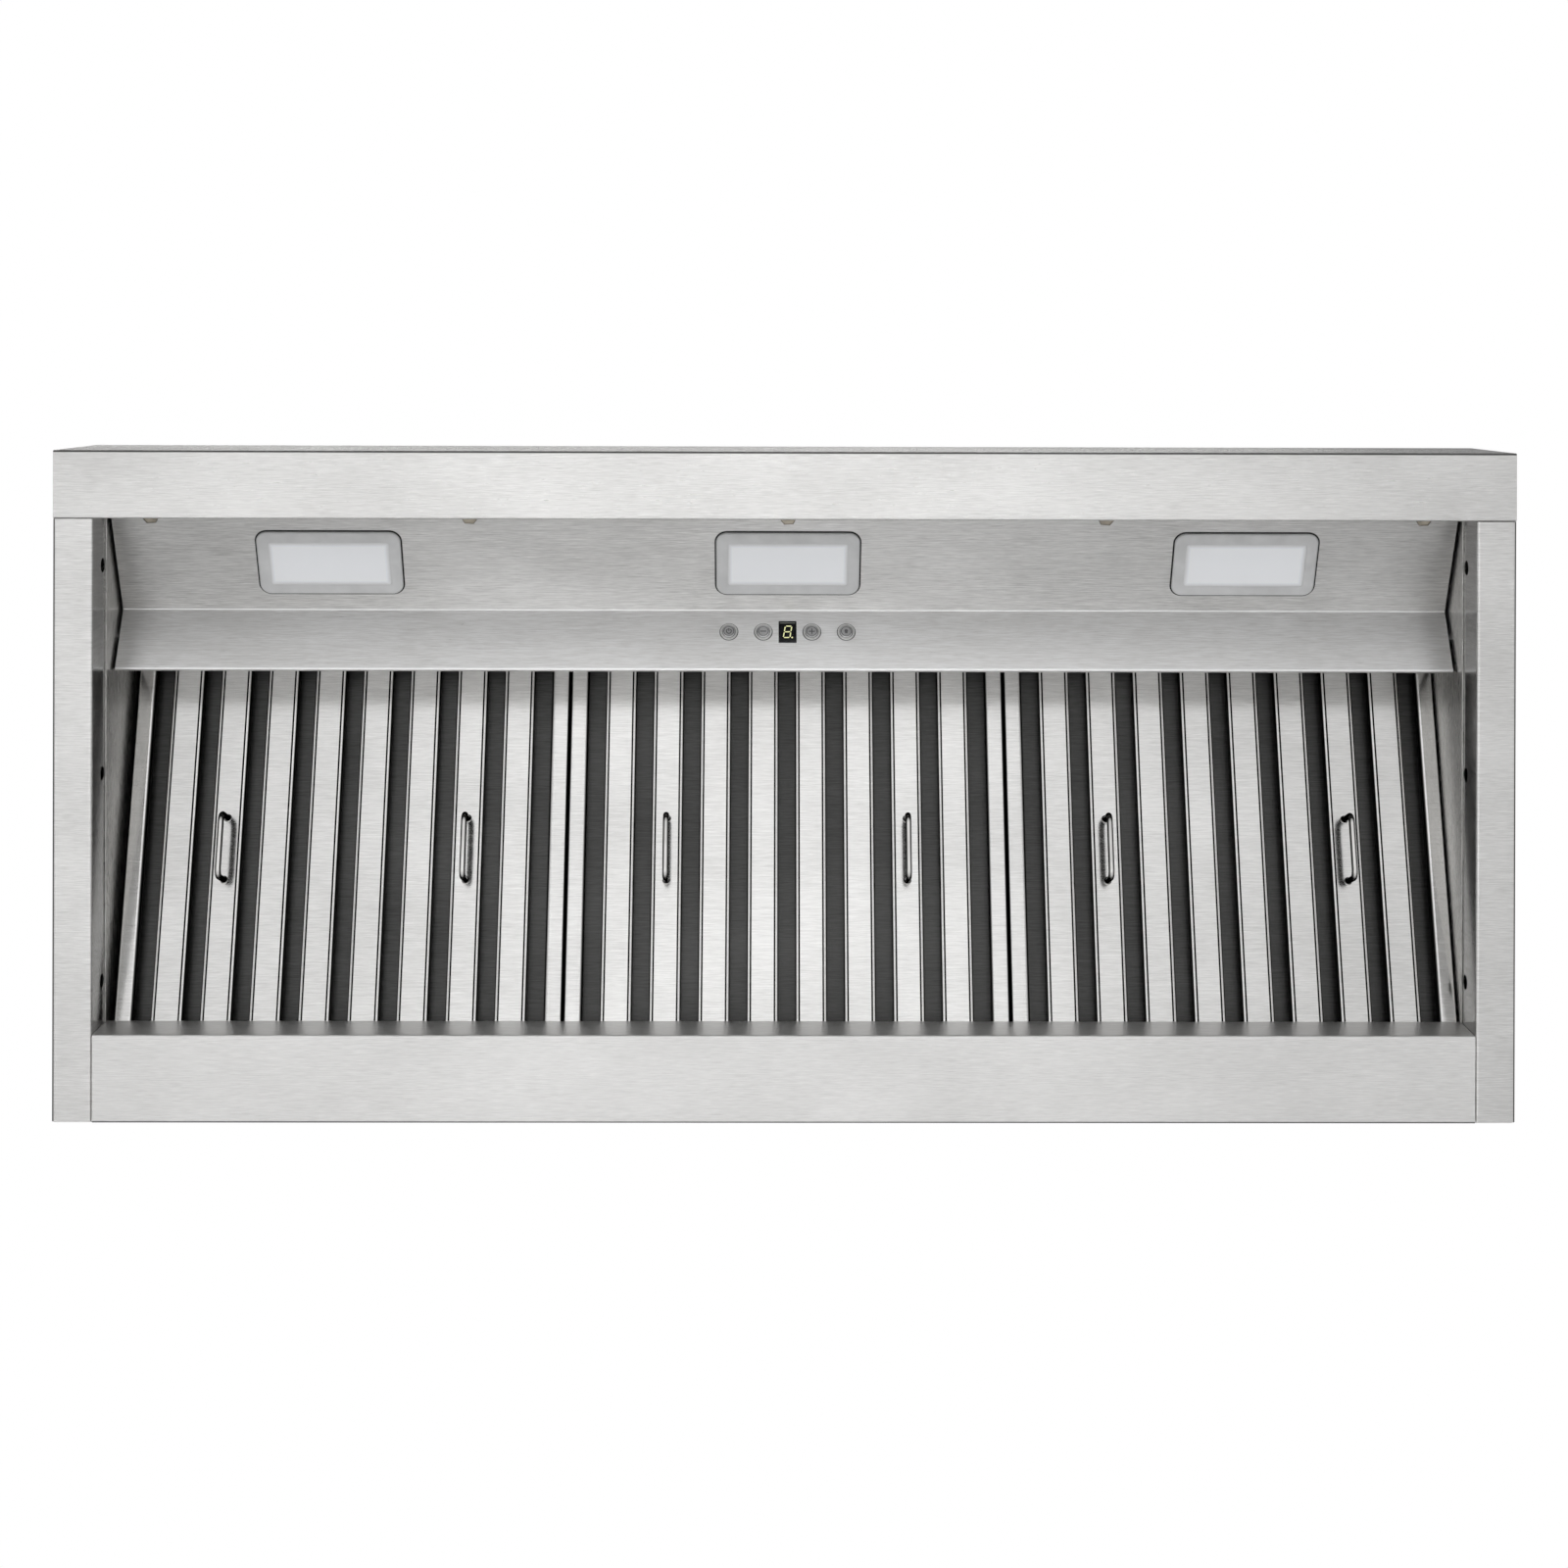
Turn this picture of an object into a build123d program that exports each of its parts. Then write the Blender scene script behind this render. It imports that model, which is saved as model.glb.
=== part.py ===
from build123d import *
import os
from math import atan2, cos, degrees, pi, radians, sin, sqrt, tan

# Range hood insert: a stainless box that drops into a cabinet hood, seen from below in use.
# X is the width, Y runs from the front (-) to the wall (+), and Z is up.
# The origin is the middle of the rim's underside. All sizes are in millimetres.

# ---- Outer case
case_width = 1181.0
case_depth = 542.0
skirt_height = 140.0
sheet = 1.0
bend_radius = 1.2
front_band = 55.0
side_band = 32.0
rear_band = 71.0
side_lip_height = 45.0
ledge_height = 47.0
wall_lap = 4.0
deck_return = 20.0
hem_length = 10.0
hem_gap = 1.6
seam = 0.3
seat_gap = 0.3
box_top = 340.0

# ---- Mounting holes in the side walls
access_hole_r = 6.0
screw_hole_r = 2.75
side_hole_height = 33.0
side_hole_pitch = 170.0
side_hole_middle = -6.0
side_hole_count = 3

# ---- Folded sheet that carries the lamps and the controls
fold_offset = 2.0
fold_side_gap = 3.8
fold_width = case_width - 2 * (side_band + fold_side_gap)
valley_from_front = 136.0
valley_height = 88.0
light_angle = 28.0
light_length = 114.5
control_angle = 31.4
control_length = 57.0
return_gap = 0.5
front_rail_height = 45.0
front_rail_lap = 32.0

# ---- Screws
panel_screw_count = 5
panel_screw_pitch = 262.0
panel_screw_from_valley = 92.5
panel_screw_head_r = 7.5
panel_screw_head = 3.2
panel_screw_bevel = 0.5
panel_screw_r = 2.5
panel_screw_length = 9.0
panel_nut_r = 4.6
panel_nut_height = 3.5
panel_slot_length = 6.0
panel_slot_width = 1.2
nut_play = 0.05
case_screw_head_r = 4.0
case_screw_head = 2.4
case_screw_r = 2.0
case_screw_length = 8.0
case_slot_length = 4.0
case_slot_width = 0.9
screw_play = 0.25

# ---- Lamps
lamp_count = 3
lamp_pitch = 380.0
lamp_from_valley = 46.7
bezel_width = 121.6
bezel_height = 62.5
bezel_radius = 10.5
bezel_proud = 2.6
bezel_bevel = 1.2
bezel_face = 1.4
bezel_skirt = 8.0
bezel_wall = 2.0
bezel_margin = 5.2
lens_width = 100.0
lens_height = 41.0
lens_radius = 3.0
lens_thickness = 3.0
lens_lap = 4.0
lamp_play = 0.2
lamp_housing_depth = 30.0
lamp_housing_wall = 1.5

# ---- Controls
control_from_valley = 20.0
button_inner_pitch = 20.3
button_outer_pitch = 49.0
cap_r = 5.4
cap_proud = 1.6
cap_fillet = 0.5
cap_flange = 1.0
stem_r = 2.0
stem_reach = 9.0
button_travel = 1.2
button_play = 0.2
ring_wall = 0.7
ring_flange_r = 7.4
ring_proud = 0.8
ring_neck = 3.2
symbol_line = 0.8
symbol_size = 5.0
symbol_depth = 0.3
board_width = 130.0
board_height = 32.0
board_thickness = 1.6
board_depth = 12.4
switch_size = 6.0
window_width = 15.0
window_height = 20.0
window_proud = 0.3
window_play = 0.2
digit_width = 6.2
digit_height = 11.6
digit_line = 1.3
digit_relief = 0.1
digit_gap = 0.25
point_r = 0.8
standoff_r = 3.0
standoff_inset = 5.0

# ---- Baffle filters
filter_count = 3
filter_width = 368.0
filter_length = 318.0
filter_depth = 22.0
filter_seam = 2.0
filter_angle = 17.8
filter_overlap = 14.0
filter_travel = 16.0
slot_count = 9
slot_pitch = 40.4
slot_gap = 14.0
baffle_sheet = 0.8
baffle_bend = 2.4
baffle_return = 9.0
frame_side = 15.0
frame_end = 11.0
frame_back = 12.0
handle_r = 2.5
handle_length = 56.5
handle_standoff = 28.0
handle_bend = 7.0
handle_from_low_end = 155.2
handle_slat = 2.5
rail_hold = 6.0
rail_stop = 1.0

# ---- Blower
blower_y = 10.0
blower_z = 242.0
wheel_r = 85.0
wheel_ring = 14.0
wheel_half = 84.0
wheel_ring_width = 3.0
blade_count = 36
blade_thickness = 1.2
blade_inset = 0.5
ring_arcs = 12
hub_r = 15.0
hub_half = 10.0
shaft_r = 4.0
shaft_play = 0.05
shaft_overhang = 5.0
scroll_half = 93.0
scroll_r = 93.0
scroll_step = 9.0
outlet_near = 45.0
inlet_r = 74.0
outlet_flange = 12.0
motor_r = 45.0
motor_start = 25.0
motor_end = 105.0
motor_fillet = 4.0
bracket_sheet = 1.5
bracket_ring = 7.0
bracket_arm = 14.0
bracket_lap = 10.0
bracket_arms = 3

# ---- Duct collar and backdraft flaps
collar_r = 100.0
collar_y = 95.0
collar_height = 46.0
collar_flange = 20.0
collar_screw_count = 6
flap_play = 1.5
flap_hinge_offset = 3.5
flap_height = 15.0
flap_sheet = 1.0
flap_rod_r = 2.0
flap_rod_play = 0.08
flap_rod_overhang = -0.2
flap_stop_width = 12.0
flap_stop_reach = 5.0

# ---- Electrical box on the deck
ebox_x = 430.0
ebox_from_front = 81.0
ebox_width = 180.0
ebox_depth = 100.0
ebox_height = 50.0
ebox_sheet = 1.2
ebox_flange = 10.0
cable_hole_r = 11.0
bush_wall = 2.5
bush_flange = 3.0
bush_lip = 2.0
capacitor_r = 15.0
capacitor_length = 60.0
driver_width = 60.0
driver_depth = 38.0
driver_height = 24.0

# ---- Deck screws
deck_screw_pitch = 270.0
deck_screw_count = 5
deck_side_screw_y = 150.0

# ---- Places worked out from the sizes above
half_width = case_width / 2
front_y = -case_depth / 2
rear_y = case_depth / 2
band_y = front_y + front_band
ledge_y = rear_y - rear_band
lip_x = half_width - side_band
side_panel_x = lip_x - sheet - seat_gap
outer_x = half_width - sheet
deck_z = skirt_height
valley_y = front_y + valley_from_front
ebox_y = front_y + ebox_from_front
filter_pitch = filter_width + filter_seam
filter_low_y = ledge_y + filter_overlap
filter_low_z = (
    ledge_height + seat_gap - (filter_overlap - sheet) * tan(radians(filter_angle))
)

# The lamps' slope faces down and to the wall. Its local Y runs from the valley to the front.
light_plane = Plane(
    origin=(fold_offset, valley_y, valley_height),
    x_dir=(1, 0, 0),
    z_dir=(0, sin(radians(light_angle)), -cos(radians(light_angle))),
)
# The controls' slope faces down and to the front. Its local Y runs up to the valley.
control_plane = Plane(
    origin=(fold_offset, valley_y, valley_height),
    x_dir=(1, 0, 0),
    z_dir=(0, -sin(radians(control_angle)), -cos(radians(control_angle))),
)
# The filters' visible face. Its local Y runs from the low end at the wall up to the front.
filter_plane = Plane(
    origin=(fold_offset, filter_low_y, filter_low_z),
    x_dir=(1, 0, 0),
    z_dir=(0, -sin(radians(filter_angle)), -cos(radians(filter_angle))),
)


def world(plane, x, y, z=0.0):
    """Point of a local plane in the part's own frame."""
    return plane.from_local_coords(Vector(x, y, z))


def box(x0, x1, y0, y1, z0, z1):
    """Box between two corners."""
    return Pos((x0 + x1) / 2, (y0 + y1) / 2, (z0 + z1) / 2) * Box(
        x1 - x0, y1 - y0, z1 - z0
    )


def rod(x0, x1, y, z, radius):
    """Round bar along X."""
    return Pos((x0 + x1) / 2, y, z) * Rot(0, 90, 0) * Cylinder(radius, x1 - x0)


def disc(x, y, z0, z1, radius):
    """Round bar along Z."""
    return Pos(x, y, (z0 + z1) / 2) * Cylinder(radius, z1 - z0)


def folded(points, thickness, radius, side):
    """Section of a bent sheet. The points trace a face with the sheet to their left (1) or right (-1)."""
    points = [Vector(*point) for point in points]
    radii = radius if isinstance(radius, list) else [radius] * (len(points) - 2)
    runs = [(end - start).normalized() for start, end in zip(points, points[1:])]
    normals = [Vector(-run.Y, run.X) * side for run in runs]
    other = [points[0] + normals[0] * thickness]
    traced_radii = []
    other_radii = []
    for corner, before, after, run, following, bend in zip(
        points[1:], normals, normals[1:], runs, runs[1:], radii
    ):
        mitre = (before + after) / (1 + before.dot(after))
        other.append(corner + mitre * thickness)
        turns_in = (run.X * following.Y - run.Y * following.X) * side > 0
        traced_radii.append(bend + thickness if turns_in else bend)
        other_radii.append(bend if turns_in else bend + thickness)
    other.append(points[-1] + normals[-1] * thickness)
    traced = FilletPolyline(*points, radius=traced_radii)
    opposite = FilletPolyline(*other, radius=other_radii)
    caps = [Line(points[0], other[0]), Line(points[-1], other[-1])]
    return make_face([*traced.edges(), *opposite.edges(), *caps])


def along_x(section, x0, x1):
    """Solid of a section drawn in (Y, Z), from x0 to x1."""
    return Pos(x0, 0, 0) * extrude(Plane.YZ * section, x1 - x0)


def along_y(section, y0, y1):
    """Solid of a section drawn in (X, Z), from y0 to y1."""
    return Pos(0, y0, 0) * extrude(Plane.XZ * section, y0 - y1)


def mirrored(shape):
    """The same piece on the other side of the middle."""
    return mirror(shape, about=Plane.YZ)


def spread(count, pitch):
    """Places of a row of equal spaces, centred on zero."""
    return [(number - (count - 1) / 2) * pitch for number in range(count)]


# ---- Case


def deck_screw_places():
    """Places of the screws that hold the deck to the skirt's returns."""
    inset = deck_return / 2
    rows = [
        (x, y)
        for x in spread(deck_screw_count, deck_screw_pitch)
        for y in (front_y + inset, rear_y - inset)
    ]
    sides = [
        (x, y)
        for x in (-half_width + inset, half_width - inset)
        for y in (-deck_side_screw_y, deck_side_screw_y)
    ]
    return rows + sides


def deck_holes():
    """Clearance cuts for the deck screws."""
    return [
        disc(x, y, deck_z - case_screw_length, deck_z + 2 * sheet, case_screw_r + screw_play)
        for x, y in deck_screw_places()
    ]


def front_fascia():
    """Front face, bottom band and hem, bent from one sheet over the full width."""
    hem_z = 2 * sheet + hem_gap
    section = folded(
        [
            (band_y - hem_length, hem_z),
            (band_y, hem_z),
            (band_y, 0),
            (front_y, 0),
            (front_y, skirt_height),
            (front_y + deck_return, skirt_height),
        ],
        sheet,
        [hem_gap / 2 - 0.1, hem_gap / 2 - 0.1, bend_radius, bend_radius],
        -1,
    )
    return along_x(section, -half_width, half_width) - deck_holes()


def side_hole_places():
    """Y places of the screw holes along a side."""
    return [side_hole_middle + y for y in spread(side_hole_count, side_hole_pitch)]


def side_cuts(radius, x0, x1):
    """Round cuts along X at the side holes."""
    return [rod(x0, x1, y, side_hole_height, radius) for y in side_hole_places()]


def left_side_rim():
    """Skirt, bottom band and inner lip of the left side, bent from one sheet."""
    section = folded(
        [
            (-lip_x, side_lip_height),
            (-lip_x, 0),
            (-half_width, 0),
            (-half_width, skirt_height),
            (-half_width + deck_return, skirt_height),
        ],
        sheet,
        bend_radius,
        -1,
    )
    full = along_y(section, band_y + seam, rear_y - sheet - seam)
    tongue_z = 2 * sheet + hem_gap + seam
    tongue = box(
        -half_width, -outer_x, front_y + sheet + seam, band_y + 2 * seam, tongue_z, skirt_height - 3
    )
    rim = full + tongue
    rim -= side_cuts(access_hole_r, -lip_x - 3 * sheet, -lip_x + sheet)
    rim -= side_cuts(screw_hole_r, -half_width - sheet, -half_width + 3 * sheet)
    return rim - deck_holes()


def rear_rim():
    """Rear skirt, bottom band and the ledge wall that the filters rest on."""
    section = folded(
        [(ledge_y, ledge_height), (ledge_y, 0), (rear_y, 0), (rear_y, skirt_height)],
        sheet,
        bend_radius,
        1,
    )
    middle = along_x(section, -lip_x + seam, lip_x - seam)
    skirt = box(
        -outer_x + seam, outer_x - seam, rear_y - sheet, rear_y, 3 * sheet, skirt_height - seam
    )
    top = box(
        -outer_x + deck_return,
        outer_x - deck_return,
        rear_y - deck_return,
        rear_y,
        skirt_height - sheet,
        skirt_height,
    )
    return middle + skirt + top - deck_holes()


def box_front_y():
    """Inner face of the upper box's front wall, just ahead of the filter rail."""
    corner = world(
        filter_plane,
        0,
        filter_length + filter_travel + rail_stop + sheet,
        seat_gap + sheet,
    )
    return corner.Y - seat_gap


def gutter_rear_y():
    """Inner face of the gutter's rear leg, just behind the filters' low ends."""
    return world(filter_plane, 0, 0, -filter_depth).Y + seat_gap


def side_panel():
    """Left inner wall: on the lip's inside, low over the whole depth and high beside the upper box."""
    front = front_y + sheet + bend_radius
    step = box_front_y()
    rear = gutter_rear_y() + sheet
    notch = ledge_y - seam
    outline = Polyline(
        (front, side_lip_height - wall_lap),
        (notch, side_lip_height - wall_lap),
        (notch, ledge_height + seam),
        (rear, ledge_height + seam),
        (rear, box_top),
        (step, box_top),
        (step, deck_z - sheet),
        (front, deck_z - sheet),
        close=True,
    )
    return along_x(make_face(outline), -side_panel_x - sheet, -side_panel_x)


def top_deck():
    """Flat lid of the lower case, cut out round the upper box."""
    deck = box(-half_width, half_width, front_y, rear_y, deck_z, deck_z + sheet)
    edge = side_panel_x + sheet + seam
    front = box_front_y() - sheet - seam
    rear = gutter_rear_y() + 2 * sheet + seam
    deck -= box(-edge, edge, front, rear, deck_z - sheet, deck_z + 2 * sheet)
    return deck - deck_holes()


def box_front():
    """Front wall of the upper box, down to just under the filter rail."""
    y = box_front_y()
    return box(-side_panel_x, side_panel_x, y - sheet, y, deck_z - 3 * sheet, box_top)


def box_rear():
    """Rear wall of the upper box, down behind the gutter."""
    y = gutter_rear_y() + sheet
    low = side_lip_height + seam
    return box(-side_panel_x - sheet, side_panel_x + sheet, y, y + sheet, low, box_top)


def collar_screw_places():
    """Places of the screws round the duct collar's flange."""
    reach = collar_r + collar_flange / 2
    turns = [2 * pi * (number + 0.5) / collar_screw_count for number in range(collar_screw_count)]
    return [(reach * cos(turn), collar_y + reach * sin(turn)) for turn in turns]


def collar_holes():
    """Clearance cuts for the collar screws."""
    return [
        disc(x, y, box_top - case_screw_length, box_top + 3 * sheet, case_screw_r + screw_play)
        for x, y in collar_screw_places()
    ]


def box_lid():
    """Top plate of the upper box, with the duct hole."""
    front = box_front_y() - sheet
    rear = gutter_rear_y() + 2 * sheet
    edge = side_panel_x + sheet
    plate = box(-edge, edge, front, rear, box_top, box_top + sheet)
    plate -= disc(0, collar_y, box_top - 1, box_top + 2 * sheet, collar_r - sheet)
    return plate - collar_holes()


# ---- Folded lamp and control sheet


def cross_slot(z, length, width):
    """Cross recess in a screw head whose top is at a height."""
    return Pos(0, 0, z) * (Box(length, width, 2 * width) + Box(width, length, 2 * width))


def light_screw_places():
    """Local places of the panel screws on the lamps' slope."""
    return [(x, panel_screw_from_valley) for x in spread(panel_screw_count, panel_screw_pitch)]


def panel_screw_holes():
    """Clearance cuts for the panel screws through the sheet and its rail."""
    return [
        light_plane * disc(x, y, -panel_screw_length, 1, panel_screw_r + screw_play)
        for x, y in light_screw_places()
    ]


def button_places():
    """Local X places of the four buttons, beside the display."""
    return {
        "power_button": -button_outer_pitch,
        "minus_button": -button_inner_pitch,
        "plus_button": button_inner_pitch,
        "light_button": button_outer_pitch,
    }


def light_control_panel():
    """Sheet bent to a shallow roof: lamps on the front slope, controls on the rear one."""
    front = world(light_plane, 0, light_length)
    valley = world(light_plane, 0, 0)
    edge = world(control_plane, 0, -control_length)
    lip = world(filter_plane, 0, 0, seat_gap + sheet)
    lip_z = lip.Z + (lip.Y - edge.Y) * tan(radians(filter_angle)) - return_gap
    section = folded(
        [(front.Y, front.Z), (valley.Y, valley.Z), (edge.Y, edge.Z), (edge.Y, lip_z)],
        sheet,
        bend_radius,
        1,
    )
    half = fold_width / 2
    panel = along_x(section, -half, half)
    opening_width = lens_width + 2 * (lens_lap + bezel_margin - bezel_wall)
    opening_height = lens_height + 2 * (lens_lap + bezel_margin - bezel_wall)
    for x in spread(lamp_count, lamp_pitch):
        opening = Pos(x, lamp_from_valley, 0) * Box(opening_width, opening_height, 4 * sheet)
        panel -= light_plane * opening
    neck_r = cap_r + button_play + ring_wall + button_play
    for x in button_places().values():
        panel -= control_plane * disc(x, -control_from_valley, -2 * sheet, sheet, neck_r)
    window = Pos(0, -control_from_valley, 0) * Box(window_width, window_height, 4 * sheet)
    panel -= control_plane * window
    return panel - panel_screw_holes()


def front_rail():
    """Bent rail on the front face's inside, which carries the front of the lamp sheet."""
    y = front_y + sheet
    rise = tan(radians(light_angle))
    lift = sheet / cos(radians(light_angle))
    low = valley_height - (valley_y - y) * rise + lift
    lap_y = world(light_plane, 0, light_length).Y + front_rail_lap * cos(radians(light_angle))
    lap_z = valley_height - (valley_y - lap_y) * rise + lift
    section = folded(
        [(lap_y, lap_z), (y, low), (y, low + front_rail_height)], sheet, bend_radius, -1
    )
    half = fold_width / 2
    rail = along_x(section, -half, half)
    return rail - panel_screw_holes()


def panel_screws():
    """Hex-headed screws from below, each with its nut behind the rail."""
    pieces = []
    for x, y in light_screw_places():
        head = Pos(x, y, 0) * extrude(RegularPolygon(panel_screw_head_r, 6), panel_screw_head)
        head = chamfer(head.edges().group_by(Axis.Z)[-1], panel_screw_bevel)
        slots = Pos(x, y, 0) * cross_slot(panel_screw_head, panel_slot_length, panel_slot_width)
        shank = disc(x, y, -panel_screw_length, 0, panel_screw_r)
        nut_top = -2 * sheet
        nut = disc(x, y, nut_top - panel_nut_height, nut_top, panel_nut_r)
        nut -= disc(x, y, -panel_screw_length, 0, panel_screw_r + nut_play)
        pieces += [light_plane * (head - slots + shank), light_plane * nut]
    return Compound(children=pieces)


# ---- Lamps


def plate(width, height, radius, z0, z1):
    """Round-cornered plate about the local origin."""
    return Pos(0, 0, z0) * extrude(RectangleRounded(width, height, radius), z1 - z0)


def bezel_pocket(play):
    """Width and height of the space behind the bezel's face."""
    return lens_width + 2 * lens_lap + 2 * play, lens_height + 2 * lens_lap + 2 * play


def lamp_bezel():
    """Frame round the lens, with a skirt that plugs into the sheet's opening."""
    flange = plate(bezel_width, bezel_height, bezel_radius, 0, bezel_proud)
    flange = chamfer(flange.edges().group_by(Axis.Z)[-1], bezel_bevel)
    pocket_width, pocket_height = bezel_pocket(lamp_play)
    skirt_growth = 2 * (bezel_margin - bezel_wall - 2 * lamp_play)
    skirt_width = pocket_width + skirt_growth
    skirt_reach = pocket_height + skirt_growth
    skirt = plate(skirt_width, skirt_reach, bezel_wall, -bezel_skirt, 0)
    frame = flange + skirt
    frame -= plate(
        pocket_width, pocket_height, lens_radius, -bezel_skirt - 1, bezel_proud - bezel_face
    )
    return frame - plate(lens_width, lens_height, lens_radius, 0, bezel_proud + 1)


def lamp_lens():
    """Frosted diffuser behind the bezel's window."""
    width, height = bezel_pocket(0)
    top = bezel_proud - bezel_face
    return plate(width, height, lens_radius, top - lens_thickness, top)


def lamp_housing():
    """Tray behind the lens that holds the lamp's heat sink."""
    width, height = bezel_pocket(0)
    top = bezel_proud - bezel_face - lens_thickness
    bottom = top - lamp_housing_depth
    tray = plate(width, height, lens_radius, bottom, top)
    inner = 2 * lamp_housing_wall
    tray -= plate(
        width - inner, height - inner, lens_radius - 0.5, bottom + lamp_housing_wall, top + 1
    )
    return tray


# ---- Controls


def symbol(name):
    """Engraved outline on a button's face."""
    half = symbol_size / 2
    ring = Circle(half) - Circle(half - symbol_line)
    bar = Rectangle(symbol_size, symbol_line)
    if name == "power_button":
        notch = Pos(0, half) * Rectangle(3 * symbol_line, symbol_size * 0.6)
        stroke = Pos(0, half * 0.55) * Rectangle(symbol_line, half)
        return ring - notch + stroke
    if name == "minus_button":
        return bar
    if name == "plus_button":
        return bar + Rectangle(symbol_line, symbol_size)
    base = Pos(0, -half * 0.55) * Rectangle(symbol_size * 0.45, symbol_line * 0.9)
    return Pos(0, half * 0.2) * Circle(half * 0.6) + base


def button(name):
    """Cap, retaining flange and stem of a push button."""
    cap = disc(0, 0, -ring_neck - seat_gap - cap_flange, cap_proud, cap_r)
    cap = fillet(cap.edges().group_by(Axis.Z)[-1], cap_fillet)
    flange_top = -ring_neck - seat_gap
    flange = disc(0, 0, flange_top - cap_flange, flange_top, cap_r + ring_wall + button_play)
    stem = disc(0, 0, -stem_reach, flange_top, stem_r)
    mark = Pos(0, 0, cap_proud - symbol_depth) * extrude(symbol(name), 1)
    return cap + flange + stem - mark


def button_rings():
    """Guide rings that the buttons slide in."""
    rings = []
    for x in button_places().values():
        flange = disc(x, -control_from_valley, 0, ring_proud, ring_flange_r)
        flange = fillet(flange.edges().group_by(Axis.Z)[-1], 0.4)
        outer_r = cap_r + button_play + ring_wall
        neck = disc(x, -control_from_valley, -ring_neck, 0, outer_r)
        bore = disc(x, -control_from_valley, -ring_neck - 1, 2, cap_r + button_play)
        rings.append(control_plane * (flange + neck - bore))
    return Compound(children=rings)


def button_switches():
    """Switches on the board under the button stems."""
    top = -stem_reach - button_travel - seat_gap
    depth = board_depth + top
    body = Box(switch_size, switch_size, depth)
    return Compound(
        children=[
            control_plane * Pos(x, -control_from_valley, top - depth / 2) * body
            for x in button_places().values()
        ]
    )


def control_board():
    """Circuit board behind the control slope."""
    middle = Pos(0, -control_from_valley, -board_depth - board_thickness / 2)
    return control_plane * middle * Box(board_width, board_height, board_thickness)


def board_standoffs():
    """Studs between the sheet and the board's corners."""
    x_far = board_width / 2 - standoff_inset
    y_far = board_height / 2 - standoff_inset
    return Compound(
        children=[
            control_plane * disc(x, y - control_from_valley, -board_depth, -sheet, standoff_r)
            for x in (-x_far, x_far)
            for y in (-y_far, y_far)
        ]
    )


def display_window():
    """Dark display block that fills the window in the sheet."""
    width = window_width - 2 * window_play
    height = window_height - 2 * window_play
    depth = board_depth + window_proud
    block = Pos(0, -control_from_valley, window_proud - depth / 2) * Box(width, height, depth)
    return control_plane * block


def display_digit():
    """Seven lit bars and a point on the display's face."""
    bar_x = digit_width - digit_line - 2 * digit_gap
    bar_y = (digit_height - 3 * digit_line) / 2 - digit_gap
    flat = Rectangle(bar_x, digit_line)
    upright = Rectangle(digit_line, bar_y)
    half_height = (digit_height - digit_line) / 2
    half_width_digit = (digit_width - digit_line) / 2 + digit_gap
    places = [Pos(0, y) * flat for y in (-half_height, 0, half_height)]
    places += [
        Pos(x, y) * upright
        for x in (-half_width_digit, half_width_digit)
        for y in (-half_height / 2, half_height / 2)
    ]
    places.append(Pos(digit_width / 2 + 2 * point_r, -half_height) * Circle(point_r))
    move = control_plane * Pos(0, -control_from_valley, window_proud)
    return Compound(children=[move * extrude(shape, digit_relief) for shape in places])


# ---- Baffle filters


def filter_place(number):
    """Local frame of one filter: X from its middle, Y from its low end."""
    return filter_plane * Pos(spread(filter_count, filter_pitch)[number], 0, 0)


def filter_side_section():
    """Side strip of the filter's frame, drawn from the left edge inwards."""
    return folded(
        [
            (frame_side, -baffle_return),
            (frame_side, 0),
            (0, 0),
            (0, -filter_depth),
            (frame_back, -filter_depth),
        ],
        baffle_sheet,
        [baffle_bend, baffle_sheet, baffle_sheet],
        1,
    )


def filter_frame():
    """Channel frame round the baffles."""
    half = filter_width / 2
    rail = Pos(-half, 0, 0) * along_y(filter_side_section(), 0, filter_length)
    end_section = folded(
        [(frame_end, 0), (0, 0), (0, -filter_depth), (frame_back, -filter_depth)],
        baffle_sheet,
        baffle_sheet,
        1,
    )
    low = along_x(end_section, baffle_sheet - half, half - baffle_sheet)
    high = Pos(0, filter_length, 0) * mirror(low, about=Plane.XZ)
    return rail + mirrored(rail) + low + high


def baffle(facing):
    """One channel-shaped slat, with its open side away from its face."""
    half = (slot_pitch - slot_gap) / 2
    face_z = -baffle_sheet if facing > 0 else baffle_sheet - filter_depth
    edge_z = face_z - facing * baffle_return
    section = folded(
        [(-half, edge_z), (-half, face_z), (half, face_z), (half, edge_z)],
        baffle_sheet,
        baffle_bend,
        -facing,
    )
    return along_y(section, baffle_sheet, filter_length - baffle_sheet)


def filter_front_slats():
    """Slats of the visible side, one between each two slots."""
    slat = baffle(1)
    return Compound(children=[Pos(x, 0, 0) * slat for x in spread(slot_count - 1, slot_pitch)])


def filter_rear_slats():
    """Slats of the back, one behind each slot."""
    slat = baffle(-1)
    return Compound(children=[Pos(x, 0, 0) * slat for x in spread(slot_count, slot_pitch)])


def filter_handles():
    """Two wire handles, each standing on a slat."""
    reach = handle_length / 2 - handle_r
    foot_z = -baffle_sheet
    route = FilletPolyline(
        (0, -reach, foot_z),
        (0, -reach, handle_standoff),
        (0, reach, handle_standoff),
        (0, reach, foot_z),
        radius=handle_bend,
    )
    wire = sweep(Plane(route @ 0, z_dir=route % 0) * Circle(handle_r), path=route)
    handle_x = handle_slat * slot_pitch
    return Compound(
        children=[Pos(x, handle_from_low_end, 0) * wire for x in (-handle_x, handle_x)]
    )


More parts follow.
